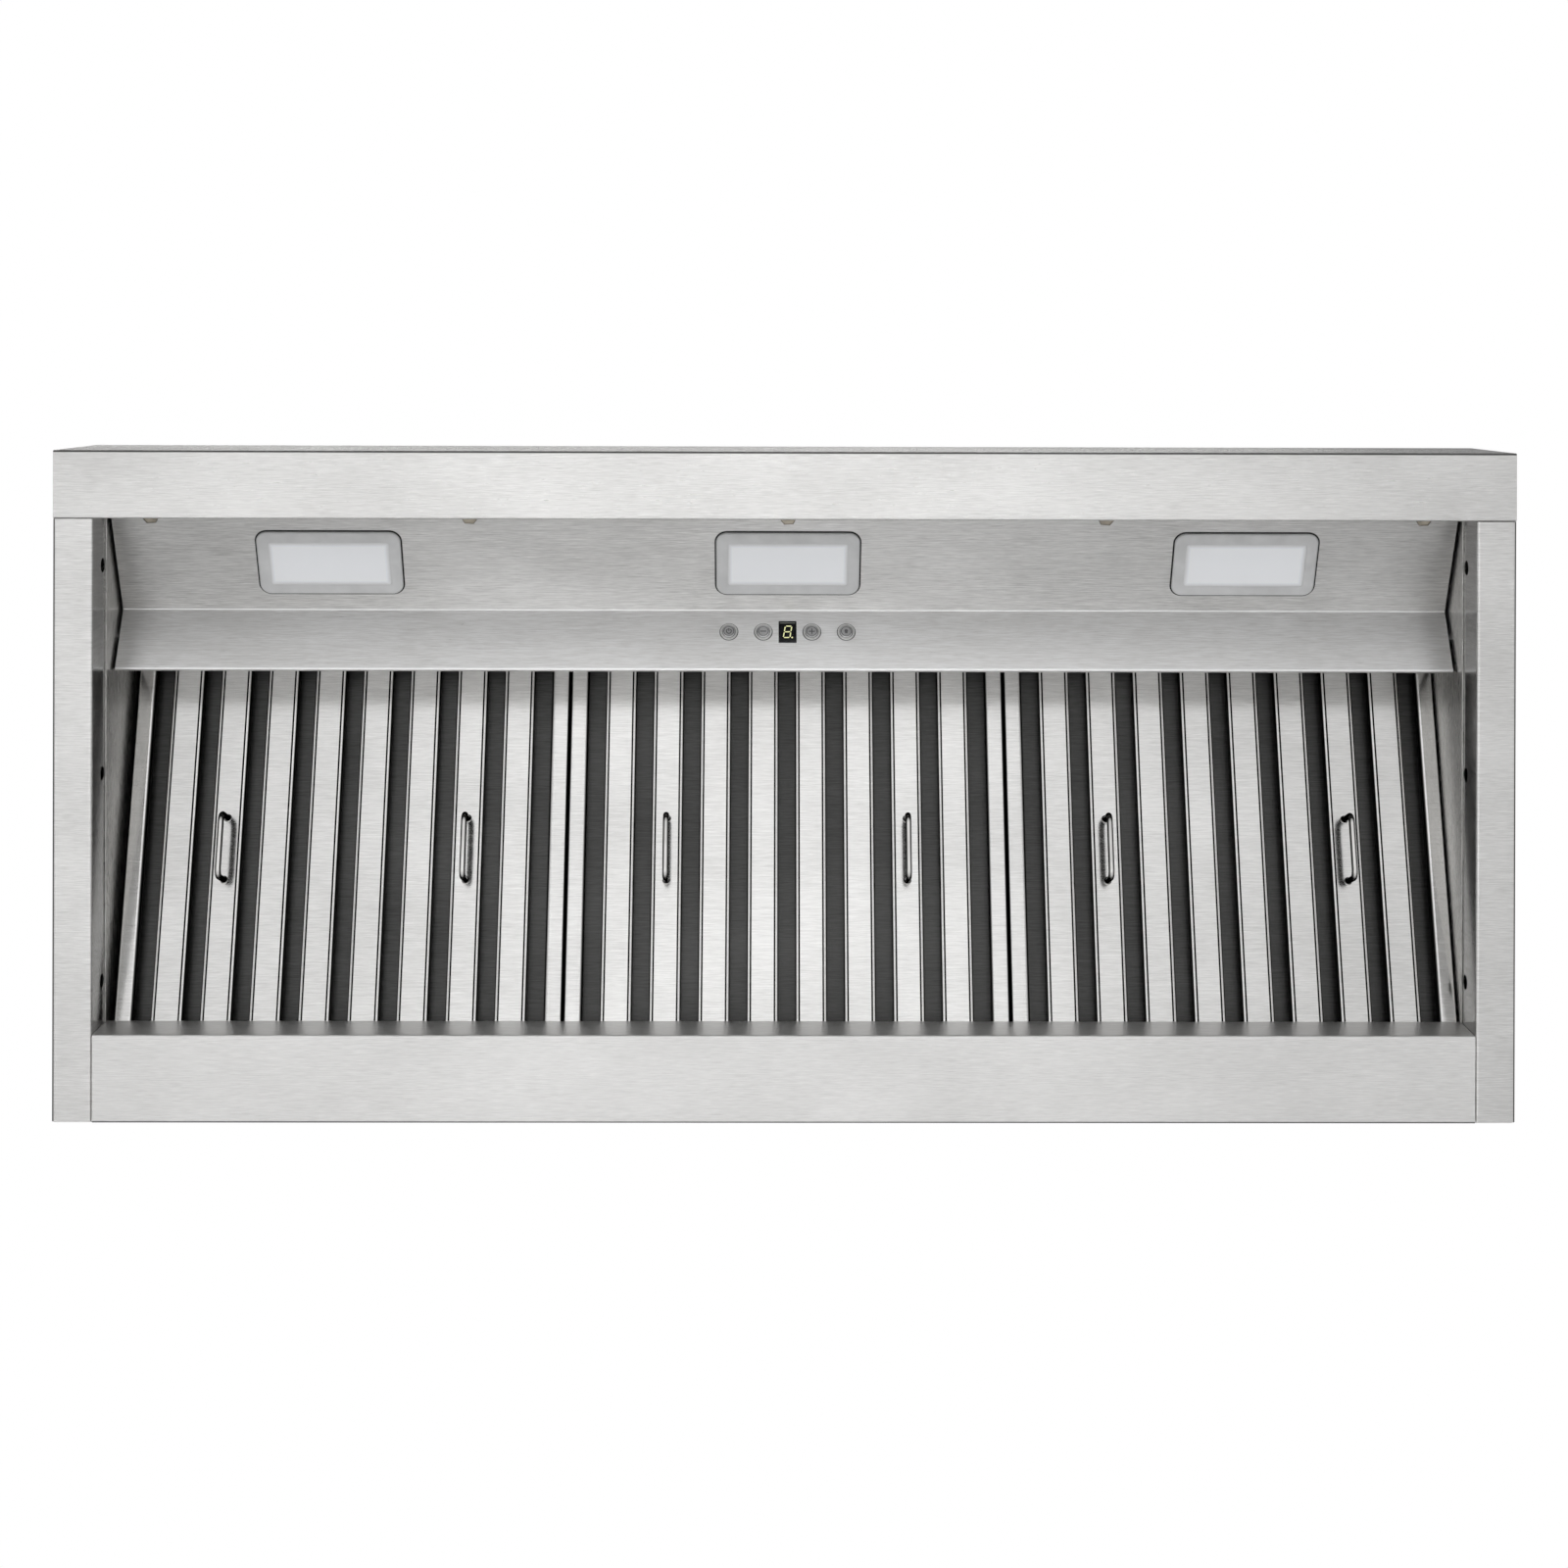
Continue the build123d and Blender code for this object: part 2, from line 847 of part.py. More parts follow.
def filter_rail():
    """Channel that holds the filters' high ends and lets them slide up."""
    near = filter_length - rail_hold
    far = filter_length + filter_travel + rail_stop
    top = -filter_depth - seat_gap
    section = folded(
        [(near, seat_gap), (far, seat_gap), (far, top), (near, top)], sheet, seat_gap, 1
    )
    rail = along_x(section, -side_panel_x - fold_offset, side_panel_x - fold_offset)
    return filter_plane * rail


def grease_gutter():
    """Trough behind the ledge wall, round the filters' low ends. Its flats meet at its bends."""
    front = ledge_y + 2 * sheet
    rear = gutter_rear_y()
    floor = world(filter_plane, 0, 0).Z - 4 * sheet
    front_top = ledge_height - 3 * sheet
    rear_top = floor + filter_depth + 20 * sheet
    section = folded(
        [(front, front_top), (front, floor), (rear, floor), (rear, rear_top)],
        sheet,
        bend_radius,
        -1,
    )
    half = side_panel_x - seam
    trough = along_x(section, -half, half)
    low = floor - sheet
    bend_top = floor + bend_radius
    bend_front = front + bend_radius
    bend_rear = rear - bend_radius
    parts = [
        (front - sheet, front, bend_top, front_top),
        (front - sheet, bend_front, low, bend_top),
        (bend_front, bend_rear, low, floor),
        (bend_rear, rear + sheet, low, bend_top),
        (rear, rear + sheet, bend_top, rear_top),
    ]
    pieces = [trough & box(-half, half, y0, y1, z0, z1) for y0, y1, z0, z1 in parts]
    return Compound(children=[piece.solid() for piece in pieces])


# ---- Blower


def scroll_face(inset, top):
    """Side view (Y, Z) of the scroll, drawn in by an inset and running up to a given height."""
    r1 = scroll_r - inset
    r2 = r1 + scroll_step
    r3 = r2 + scroll_step
    tongue_y = outlet_near + inset
    tongue = (tongue_y, sqrt(r1 * r1 - tongue_y * tongue_y))
    start = degrees(atan2(tongue[1], tongue[0]))
    arc1 = CenterArc((0, 0), r1, start, 180 - start)
    arc2 = CenterArc((scroll_step, 0), r2, 180, 90)
    arc3 = CenterArc((scroll_step, scroll_step), r3, 270, 90)
    far = scroll_step + r3
    lines = Polyline((far, scroll_step), (far, top), (tongue_y, top), tongue)
    return make_face([arc1, arc2, arc3, *lines.edges()])


def blower_housing():
    """Scroll casing with an inlet in each side and its outlet under the duct hole."""
    move = Pos(0, blower_y, blower_z)
    rise = box_top - blower_z
    far = 2 * scroll_step + scroll_r + scroll_step
    shell = along_x(scroll_face(0, rise), -scroll_half, scroll_half)
    flange = box(
        -scroll_half - outlet_flange,
        scroll_half + outlet_flange,
        outlet_near - outlet_flange,
        far + outlet_flange,
        rise - bracket_sheet,
        rise,
    )
    hollow = along_x(scroll_face(sheet, rise + 1), sheet - scroll_half, scroll_half - sheet)
    inlets = rod(-scroll_half - 1, scroll_half + 1, 0, 0, inlet_r)
    return move * (shell + flange - hollow - inlets)


def ring_arc():
    """Side view (Y, Z) of one of the equal arcs that a wheel's end ring is made of."""
    start = 180 / blade_count
    arcs = [
        CenterArc((0, 0), radius, start, 360 / ring_arcs)
        for radius in (wheel_r - wheel_ring, wheel_r)
    ]
    ends = [Line(arcs[0] @ end, arcs[1] @ end) for end in (0, 1)]
    return make_face([*arcs, *ends])


def impeller():
    """Two-sided squirrel-cage wheel: slotted disc with its hub, end rings in arcs, and blades."""
    reach = wheel_half - wheel_ring_width
    half = blade_thickness / 2
    blade = box(-reach, reach, wheel_r - wheel_ring + blade_inset, wheel_r - blade_inset, -half, half)
    blades = [Rot(360 * number / blade_count, 0, 0) * blade for number in range(blade_count)]
    core = rod(-sheet, sheet, 0, 0, wheel_r) + rod(-hub_half, hub_half, 0, 0, hub_r)
    core -= rod(-hub_half - 1, hub_half + 1, 0, 0, shaft_r + shaft_play)
    core -= blades
    arc = along_x(ring_arc(), reach, wheel_half)
    arcs = [Rot(360 * number / ring_arcs, 0, 0) * arc for number in range(ring_arcs)]
    arcs += [mirrored(piece) for piece in arcs]
    move = Pos(0, blower_y, blower_z)
    return Compound(children=[move * piece for piece in (core, *arcs, *blades)])


def blower_shaft():
    """Shaft from the wheel's hub through the motor."""
    return rod(-hub_half - shaft_overhang, motor_end + shaft_overhang, blower_y, blower_z, shaft_r)


def blower_motor():
    """Motor that reaches into the wheel from one inlet."""
    body = rod(motor_start, motor_end, 0, 0, motor_r)
    body = fillet(body.edges().filter_by(GeomType.CIRCLE), motor_fillet)
    body -= rod(motor_start - 1, motor_end + 1, 0, 0, shaft_r + shaft_play)
    return Pos(0, blower_y, blower_z) * body


def motor_bracket():
    """Ring round the motor with arms to the casing's side."""
    x0 = scroll_half
    x1 = scroll_half + bracket_sheet
    inner_r = motor_r + seat_gap
    outer_r = inner_r + bracket_ring
    bracket = rod(x0, x1, 0, 0, outer_r)
    arm = box(x0, x1, 0, inlet_r + bracket_lap, -bracket_arm / 2, bracket_arm / 2)
    bracket += [Rot(360 * number / bracket_arms + 30, 0, 0) * arm for number in range(bracket_arms)]
    bracket -= rod(x0 - 1, x1 + 1, 0, 0, inner_r)
    return Pos(0, blower_y, blower_z) * bracket


# ---- Duct collar and backdraft flaps


def flap_z():
    """Height of the flaps' hinge rods."""
    return box_top + sheet + flap_height


def flap_rod(side, play):
    """Hinge rod of one flap, or its clearance."""
    reach = collar_r + flap_rod_overhang
    y = collar_y + side * flap_hinge_offset
    return rod(-reach, reach, y, flap_z(), flap_rod_r + play)


def duct_collar():
    """Round collar with a screw flange, rod holes and stops for the flaps."""
    low = box_top + sheet
    flange = disc(0, collar_y, low, low + sheet, collar_r + collar_flange)
    tube = disc(0, collar_y, low, low + collar_height, collar_r)
    collar = flange + tube
    collar -= disc(0, collar_y, low - 1, low + collar_height + 1, collar_r - sheet)
    for side in (-1, 1):
        near = collar_r - sheet - flap_stop_reach
        far = collar_r - sheet / 2
        y0, y1 = sorted((collar_y + side * near, collar_y + side * far))
        stop_z = flap_z() - flap_sheet / 2 - seat_gap
        half = flap_stop_width / 2
        collar += box(-half, half, y0, y1, stop_z - sheet, stop_z)
        collar -= flap_rod(side, flap_rod_play)
    return collar - collar_holes()


def damper_flap(side):
    """Half-round flap fixed to its hinge rod."""
    radius = collar_r - sheet - flap_play
    z = flap_z()
    half = flap_sheet / 2
    leaf = disc(0, collar_y, z - half, z + half, radius)
    edge = collar_y + side * flap_hinge_offset
    keep_far = edge + side * 2 * collar_r
    y0, y1 = sorted((edge, keep_far))
    leaf &= box(-collar_r, collar_r, y0, y1, z - 1, z + 1)
    return leaf + flap_rod(side, 0)


# ---- Electrical box


def ebox_screw_places():
    """Places of the screws in the electrical box's cover."""
    x_far = ebox_width / 2 - ebox_flange / 2
    y_far = ebox_depth / 2 - ebox_flange / 2
    return [(ebox_x + x, ebox_y + y) for x in (-x_far, x_far) for y in (-y_far, y_far)]


def ebox_screw_holes():
    """Clearance cuts for the cover screws."""
    top = deck_z + sheet + ebox_height
    return [
        disc(x, y, top - case_screw_length, top + 2 * ebox_sheet, case_screw_r + screw_play)
        for x, y in ebox_screw_places()
    ]


def cable_hole(radius):
    """Round cut through the electrical box's right side."""
    x = ebox_x + ebox_width / 2
    z = deck_z + sheet + ebox_height / 2
    return rod(x - 3 * ebox_sheet, x + ebox_sheet, ebox_y, z, radius)


def junction_box():
    """Open tray with inward flanges for its cover."""
    low = deck_z + sheet
    x0, x1 = ebox_x - ebox_width / 2, ebox_x + ebox_width / 2
    y0, y1 = ebox_y - ebox_depth / 2, ebox_y + ebox_depth / 2
    wall = ebox_sheet
    tray = box(x0, x1, y0, y1, low, low + ebox_height)
    tray -= box(x0 + wall, x1 - wall, y0 + wall, y1 - wall, low + wall, low + ebox_height - wall)
    rim = ebox_flange
    tray -= box(x0 + rim, x1 - rim, y0 + rim, y1 - rim, low + wall, low + ebox_height + 1)
    return tray - cable_hole(cable_hole_r) - ebox_screw_holes()


def junction_cover():
    """Flat cover of the electrical box."""
    top = deck_z + sheet + ebox_height
    cover = Pos(ebox_x, ebox_y, top + ebox_sheet / 2) * Box(ebox_width, ebox_depth, ebox_sheet)
    return cover - ebox_screw_holes()


def cable_bush():
    """Bush in the cable hole, flanged on both sides of the wall."""
    x1 = ebox_x + ebox_width / 2
    x0 = x1 - ebox_sheet
    z = deck_z + sheet + ebox_height / 2
    body_r = cable_hole_r - 0.1
    body = rod(x0 - bush_lip, x1 + bush_lip, ebox_y, z, body_r)
    for a, b in ((x0 - bush_lip, x0), (x1, x1 + bush_lip)):
        body += rod(a, b, ebox_y, z, cable_hole_r + bush_flange)
    return body - rod(x0 - 3 * bush_lip, x1 + 3 * bush_lip, ebox_y, z, body_r - bush_wall)


def capacitor():
    """Motor capacitor on the electrical box's floor."""
    x = ebox_x - ebox_width / 4
    floor = deck_z + sheet + ebox_sheet
    half = capacitor_length / 2
    return rod(x - half, x + half, ebox_y, floor + capacitor_r + 0.1, capacitor_r)


def led_driver():
    """Lamp supply on the electrical box's floor."""
    x = ebox_x + ebox_width / 5
    floor = deck_z + sheet + ebox_sheet
    half = driver_width / 2
    deep = driver_depth / 2
    return box(x - half, x + half, ebox_y - deep, ebox_y + deep, floor, floor + driver_height)


def case_screws():
    """Screws of the deck, the duct collar and the electrical box's cover."""
    seats = [(x, y, deck_z + sheet) for x, y in deck_screw_places()]
    seats += [(x, y, box_top + 2 * sheet) for x, y in collar_screw_places()]
    top = deck_z + sheet + ebox_height + ebox_sheet
    seats += [(x, y, top) for x, y in ebox_screw_places()]
    head = disc(0, 0, 0, case_screw_head, case_screw_head_r)
    head = fillet(head.edges().group_by(Axis.Z)[-1], case_screw_head * 0.5)
    slots = cross_slot(case_screw_head, case_slot_length, case_slot_width)
    screw = head - slots + disc(0, 0, 1 - case_screw_length, 0, case_screw_r)
    return Compound(children=[Pos(x, y, z) * screw for x, y, z in seats])


# ---- Assembly


def lamps():
    """The three lamps, each as a bezel, a lens and a housing."""
    pieces = {}
    names = ("left", "centre", "right")
    for name, x in zip(names, spread(lamp_count, lamp_pitch)):
        place = light_plane * Pos(x, lamp_from_valley, 0)
        pieces[f"{name}_lamp_bezel"] = place * lamp_bezel()
        pieces[f"{name}_lamp_lens"] = place * lamp_lens()
        pieces[f"{name}_lamp_housing"] = place * lamp_housing()
    return pieces


def filters():
    """The three filters, each as a frame, two layers of slats and its handles."""
    pieces = {}
    for number, name in enumerate(("left", "centre", "right")):
        place = filter_place(number)
        pieces[f"{name}_filter_frame"] = place * filter_frame()
        pieces[f"{name}_filter_front_slats"] = place * filter_front_slats()
        pieces[f"{name}_filter_rear_slats"] = place * filter_rear_slats()
        pieces[f"{name}_filter_handles"] = place * filter_handles()
    return pieces


def controls():
    """Buttons, their guides and switches, the board and the display."""
    pieces = {
        name: control_plane * Pos(x, -control_from_valley, 0) * button(name)
        for name, x in button_places().items()
    }
    pieces["button_rings"] = button_rings()
    pieces["button_switches"] = button_switches()
    pieces["control_board"] = control_board()
    pieces["board_standoffs"] = board_standoffs()
    pieces["display_window"] = display_window()
    pieces["display_digit"] = display_digit()
    return pieces


def case():
    """Sheet-metal case, its rails and its fasteners."""
    left_rim = left_side_rim()
    left_panel = side_panel()
    return {
        "front_fascia": front_fascia(),
        "left_side_rim": left_rim,
        "right_side_rim": mirrored(left_rim),
        "rear_rim": rear_rim(),
        "left_side_panel": left_panel,
        "right_side_panel": mirrored(left_panel),
        "top_deck": top_deck(),
        "box_front": box_front(),
        "box_rear": box_rear(),
        "box_lid": box_lid(),
        "light_control_panel": light_control_panel(),
        "front_rail": front_rail(),
        "filter_rail": filter_rail(),
        "grease_gutter": grease_gutter(),
        "panel_screws": panel_screws(),
        "case_screws": case_screws(),
    }


def blower():
    """Blower, duct collar and backdraft flaps."""
    return {
        "blower_housing": blower_housing(),
        "impeller": impeller(),
        "blower_shaft": blower_shaft(),
        "blower_motor": blower_motor(),
        "motor_bracket": motor_bracket(),
        "duct_collar": duct_collar(),
        "front_damper_flap": damper_flap(-1),
        "rear_damper_flap": damper_flap(1),
    }


def electrics():
    """Electrical box and what it holds."""
    return {
        "junction_box": junction_box(),
        "junction_cover": junction_cover(),
        "cable_bush": cable_bush(),
        "capacitor": capacitor(),
        "led_driver": led_driver(),
    }


def main():
    """Writes one STEP file for each piece."""
    os.makedirs("parts", exist_ok=True)
    pieces = {**case(), **lamps(), **controls(), **filters(), **blower(), **electrics()}
    for name, shape in pieces.items():
        export_step(shape, f"parts/{name}.step")


main()
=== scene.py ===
"""Looks of a range hood insert: brushed steel case, lamps, controls, baffle filters and blower.

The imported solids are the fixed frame. Pieces whose form gains from finer work, such as the filters' slats
and handles, the screws, the lamps, the buttons and the blower wheel, are built here and stand for their
solids. All other solids stay and get procedural finishes. X is the width, Y runs from the front to the
wall and Z is up. Sizes of pieces are in millimetres, and those of the studio and the patterns in metres.
"""

import logging
import math
from dataclasses import dataclass, field
from enum import Enum
from typing import Callable, Optional, Sequence, Union

import bmesh
import bpy
from mathutils import Matrix, Vector


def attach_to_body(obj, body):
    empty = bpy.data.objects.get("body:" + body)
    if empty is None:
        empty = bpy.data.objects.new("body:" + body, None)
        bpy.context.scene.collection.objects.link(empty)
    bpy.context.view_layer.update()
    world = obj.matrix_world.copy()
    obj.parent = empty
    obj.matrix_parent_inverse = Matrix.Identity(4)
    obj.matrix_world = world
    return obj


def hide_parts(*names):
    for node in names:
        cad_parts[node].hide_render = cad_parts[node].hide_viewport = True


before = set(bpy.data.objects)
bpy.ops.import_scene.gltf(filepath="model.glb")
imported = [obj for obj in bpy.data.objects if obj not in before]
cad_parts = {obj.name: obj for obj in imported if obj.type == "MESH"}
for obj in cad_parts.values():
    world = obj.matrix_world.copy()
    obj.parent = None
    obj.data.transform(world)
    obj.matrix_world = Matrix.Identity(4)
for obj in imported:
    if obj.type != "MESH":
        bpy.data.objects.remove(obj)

LOG = logging.getLogger("range_hood_insert")
SIDES = ("left", "centre", "right")
MM = 0.001
CREASE = math.radians(32.0)
MERGE = 1e-7
WHITE = (1.0, 1.0, 1.0)

Triple = tuple[float, float, float]
Point2 = tuple[float, float]
Profile = tuple[Point2, ...]
Outline = list[Point2]
Loops = list[tuple[Outline, float]]
Feeds = dict[str, object]
Socket = bpy.types.NodeSocket
Finish = bpy.types.Material
Piece = bpy.types.Object


def metres(*lengths: float) -> list[float]:
    """Give lengths in metres for lengths in millimetres."""
    return [MM * length for length in lengths]


def scaled(color: Triple, share: float) -> Triple:
    """Give a colour times a share, capped at white."""
    return tuple(min(1.0, share * value) for value in color)


# ---------------------------------------------------------------- local frames


@dataclass(frozen=True)
class Slope:
    """A sloping face's own frame.

    Attributes:
        origin: Place of the local zero.
        tilt: Angle of the outward face away from straight down, in degrees. It is positive when the face
            turns to the wall and negative when it turns to the front.
    """

    origin: Triple
    tilt: float

    def matrix(self, x: float = 0.0, y: float = 0.0, z: float = 0.0) -> Matrix:
        """Give the matrix, in metres, from the local frame, moved by a local step, to the part's frame.

        Args:
            x: Step along the width.
            y: Step along the slope, away from the wall.
            z: Step outwards from the face.

        Returns:
            The matrix whose columns are the width, the slope and the outward direction.
        """
        angle = math.radians(self.tilt)
        out = Vector((0.0, math.sin(angle), -math.cos(angle)))
        along = out.cross(Vector((1.0, 0.0, 0.0)))
        turn = Matrix(((1.0, along.x, out.x), (0.0, along.y, out.y), (0.0, along.z, out.z)))
        step = Matrix.Translation(metres(x, y, z))
        return Matrix.Translation(metres(*self.origin)) @ turn.to_4x4() @ step


VALLEY = (2.0, -135.0, 88.0)
LAMP_SLOPE = Slope(VALLEY, 28.0)
CONTROL_SLOPE = Slope(VALLEY, -31.4)
FILTER_SLOPE = Slope((2.0, 214.0, 43.126), -17.8)


# ---------------------------------------------------------------- node trees


class Net:
    """A node tree with short ways to add and feed its nodes."""

    def __init__(self, tree: bpy.types.NodeTree) -> None:
        """Take hold of a tree."""
        self.nodes, self.links = tree.nodes, tree.links

    def feed(self, entry: Socket, value: object) -> None:
        """Link a socket to an input, or set a number, vector or colour on it.

        Args:
            entry: The input.
            value: What it gets.
        """
        if isinstance(value, Socket):
            self.links.new(value, entry)
        else:
            entry.default_value = (*value, 1.0) if entry.type == "RGBA" else value

    def node(self, kind: str, feeds: Optional[Feeds] = None, **settings: object) -> bpy.types.Node:
        """Add a node.

        Args:
            kind: Its type.
            feeds: Sockets or values for its inputs, by name.
            settings: Its properties.

        Returns:
            The node.
        """
        made = self.nodes.new(kind)
        for key, value in settings.items():
            setattr(made, key, value)
        for key, value in (feeds or {}).items():
            self.feed(made.inputs[key], value)
        return made

    def math(self, kind: str, first: object, second: object = 0.0) -> Socket:
        """Combine two sockets or numbers.

        Args:
            kind: The operation.
            first: First socket or number.
            second: Second socket or number.

        Returns:
            The result's socket.
        """
        made = self.node("ShaderNodeMath", operation=kind)
        for entry, value in zip(made.inputs, (first, second)):
            self.feed(entry, value)
        return made.outputs["Value"]


class Grain(Enum):
    """Direction of the brush marks in a steel sheet, as the scale of their noise along each axis."""

    ALONG_WIDTH = (42.0, 1000.0, 1000.0)
    ACROSS_SIDE = (42.0, 1000.0, 42.0)
    ALONG_DEPTH = (1000.0, 42.0, 1000.0)


class ShaderNet(Net):
    """A material's node tree with what the finishes share."""

    def __init__(self, name: str) -> None:
        """Start a material with a surface shader and the object's coordinates.

        Args:
            name: Name of the material.
        """
        self.material = bpy.data.materials.new(name)
        self.material.use_nodes = True
        super().__init__(self.material.node_tree)
        self.nodes.clear()
        self.shader = self.node("ShaderNodeBsdfPrincipled")
        self.output = self.node("ShaderNodeOutputMaterial", {"Surface": self.shader.outputs["BSDF"]})
        self.coords = self.node("ShaderNodeTexCoord").outputs["Object"]

    def surface(self, **values: object) -> Finish:
        """Feed the surface shader.

        Args:
            values: Sockets or values for its inputs, named with underscores for spaces.

        Returns:
            The material.
        """
        for key, value in values.items():
            self.feed(self.shader.inputs[key.replace("_", " ")], value)
        return self.material

    def mapped(self, kind: str = "POINT", **values: object) -> Socket:
        """Give the object's coordinates, moved, turned or scaled by the values of a mapping node."""
        feeds = {"Vector": self.coords, **values}
        return self.node("ShaderNodeMapping", feeds, vector_type=kind).outputs["Vector"]

    def noise(self, scale: Union[float, Triple], detail: float = 3.0, rough: float = 0.5) -> Socket:
        """Give a noise value over the object's coordinates.

        Args:
            scale: Scale along each axis, or along all of them, per metre.
            detail: Number of finer layers.
            rough: Share of each finer layer.

        Returns:
            The value's socket.
        """
        vector = self.mapped(Scale=scale if isinstance(scale, tuple) else (scale,) * 3)
        feeds = {"Vector": vector, "Scale": 1.0, "Detail": detail, "Roughness": rough}
        return self.node("ShaderNodeTexNoise", feeds).outputs["Fac"]

    def mixed(self, first: Socket, second: Socket, share: float) -> Socket:
        """Give the sum of two values with a share for the second and the rest for the first."""
        rest = self.math("MULTIPLY", first, 1.0 - share)
        return self.math("ADD", rest, self.math("MULTIPLY", second, share))

    def spread(self, value: Socket, low: float, high: float, start: float = 0.3, end: float = 0.7) -> Socket:
        """Map a value from one range to another and clamp it.

        Args:
            value: The value's socket.
            low: Result at the start.
            high: Result at the end.
            start: Value where the range starts.
            end: Value where it ends.

        Returns:
            The result's socket.
        """
        feeds = {"Value": value, "From Min": start, "From Max": end, "To Min": low, "To Max": high}
        return self.node("ShaderNodeMapRange", feeds, clamp=True).outputs["Result"]

    def blend(self, factor: Socket, first: object, second: object) -> Socket:
        """Mix two colours, given as sockets or as red, green and blue, by a factor."""
        feeds = {"Factor": factor, "A": first, "B": second}
        return self.node("ShaderNodeMix", feeds, data_type="RGBA").outputs["Result"]

    def normal(self) -> Socket:
        """Give the surface's own normal."""
        return self.node("ShaderNodeNewGeometry").outputs["Normal"]

    def part(self, vector: Socket, key: str) -> Socket:
        """Give one axis of a vector."""
        return self.node("ShaderNodeSeparateXYZ", {"Vector": vector}).outputs[key]

    def facing(self, key: str, start: float, end: float) -> Socket:
        """Give 0 to 1 by how far the surface turns along an axis, between two shares of its normal."""
        return self.spread(self.math("ABSOLUTE", self.part(self.normal(), key)), 0.0, 1.0, start, end)

    def bump(self, height: Socket, strength: float, distance: float) -> None:
        """Press a height into the surface.

        Args:
            height: The height's socket.
            strength: Share of the height that shows.
            distance: Depth of a height of one, in metres.
        """
        feeds = {"Height": height, "Strength": strength, "Distance": distance}
        self.surface(Normal=self.node("ShaderNodeBump", feeds).outputs["Normal"])


class GrowthNet(Net):
    """A geometry node tree with named inputs, which grows one piece."""

    def __init__(self, name: str) -> None:
        """Start a tree with its geometry input and output.

        Args:
            name: Name of the tree.
        """
        self.tree = bpy.data.node_groups.new(name, "GeometryNodeTree")
        super().__init__(self.tree)
        for way in ("INPUT", "OUTPUT"):
            self.tree.interface.new_socket("Geometry", in_out=way, socket_type="NodeSocketGeometry")
        self.entry, self.exit = self.node("NodeGroupInput"), self.node("NodeGroupOutput")
        self.values: dict[str, object] = {}

    def input(self, name: str, value: object) -> Socket:
        """Add a named input and keep the value that the piece is grown with.

        Args:
            name: Name of the input.
            value: Count, length in metres, object or material.

        Returns:
            The tree's socket for it.
        """
        kinds = {int: "Int", float: "Float", Piece: "Object", Finish: "Material"}
        kind = next(word for type_, word in kinds.items() if isinstance(value, type_))
        made = self.tree.interface.new_socket(name, in_out="INPUT", socket_type=f"NodeSocket{kind}")
        self.values[made.identifier] = value
        return self.entry.outputs[name]

    def vector(self, x: object, y: object, z: object) -> Socket:
        """Give a vector made of three sockets or numbers."""
        return self.node("ShaderNodeCombineXYZ", {"X": x, "Y": y, "Z": z}).outputs["Vector"]

    def item(self, name: str, piece: Piece) -> Socket:
        """Give the shape of a piece through a named input."""
        return self.node("GeometryNodeObjectInfo", {"Object": self.input(name, piece)}).outputs["Geometry"]

    def bent_path(self, points: Sequence[Socket], radius: Socket, steps: int) -> Socket:
        """Give an open path through four points with rounded corners.

        Args:
            points: The four corners, in order.
            radius: Bend radius at the two inner corners.
            steps: Segments in each bend.

        Returns:
            The path's socket.
        """
        corners = {f"Point {number}": point for number, point in enumerate(points, 1)}
        path = self.node("GeometryNodeCurvePrimitiveQuadrilateral", corners, mode="POINTS").outputs["Curve"]
        opened = self.node("GeometryNodeSetSplineCyclic", {"Geometry": path, "Cyclic": False})
        feeds = {"Curve": opened.outputs["Geometry"], "Radius": radius, "Count": steps}
        return self.node("GeometryNodeFilletCurve", feeds, mode="POLY").outputs["Curve"]

    def row(self, item: Socket, count: int, pitch: float) -> Socket:
        """Repeat an item along X, centred on zero.

        Args:
            item: The item's socket.
            count: Number of copies.
            pitch: Distance between two of them.

        Returns:
            The socket of the copies.
        """
        number, step = self.input("Count", count), self.input("Pitch", MM * pitch)
        span = self.math("MULTIPLY", self.math("SUBTRACT", number, 1.0), step)
        start = self.vector(self.math("MULTIPLY", span, -0.5), 0.0, 0.0)
        feeds = {"Count": number, "Start Location": start, "Offset": self.vector(step, 0.0, 0.0)}
        line = self.node("GeometryNodeMeshLine", feeds).outputs["Mesh"]
        feeds = {"Points": line, "Instance": item}
        return self.node("GeometryNodeInstanceOnPoints", feeds).outputs["Instances"]

    def grow(self, name: str, item: Socket, finish: Finish, place: Matrix, wall: float = 0.0) -> Piece:
        """End the tree in realised instances with their finish, and keep its result as a plain mesh.

        Args:
            name: Name of the piece.
            item: What the tree has grown.
            finish: Its finish.
            place: Matrix from the tree's frame to the part's.
            wall: Thickness given to open sheets, or zero for closed shapes.

        Returns:
            The piece in its place, with no modifier left on it.
        """
        real = self.node("GeometryNodeRealizeInstances", {"Geometry": item}).outputs["Geometry"]
        feeds = {"Geometry": real, "Material": self.input("Finish", finish)}
        dressed = self.node("GeometryNodeSetMaterial", feeds)
        self.feed(self.exit.inputs["Geometry"], dressed.outputs["Geometry"])
        holder = placed(name, bpy.data.meshes.new(f"{name}_seed"))
        modifier = holder.modifiers.new("grow", "NODES")
        modifier.node_group = self.tree
        for identifier, value in self.values.items():
            modifier[identifier] = value
        if wall:
            sheet = holder.modifiers.new("sheet", "SOLIDIFY")
            sheet.thickness, sheet.offset, sheet.use_even_offset = MM * wall, 0.0, True
        depsgraph = bpy.context.evaluated_depsgraph_get()
        mesh = bpy.data.meshes.new_from_object(holder.evaluated_get(depsgraph), depsgraph=depsgraph)
        holder.modifiers.clear()
        holder.data = mesh
        tidy_shell(holder)
        mesh.transform(place)
        return holder


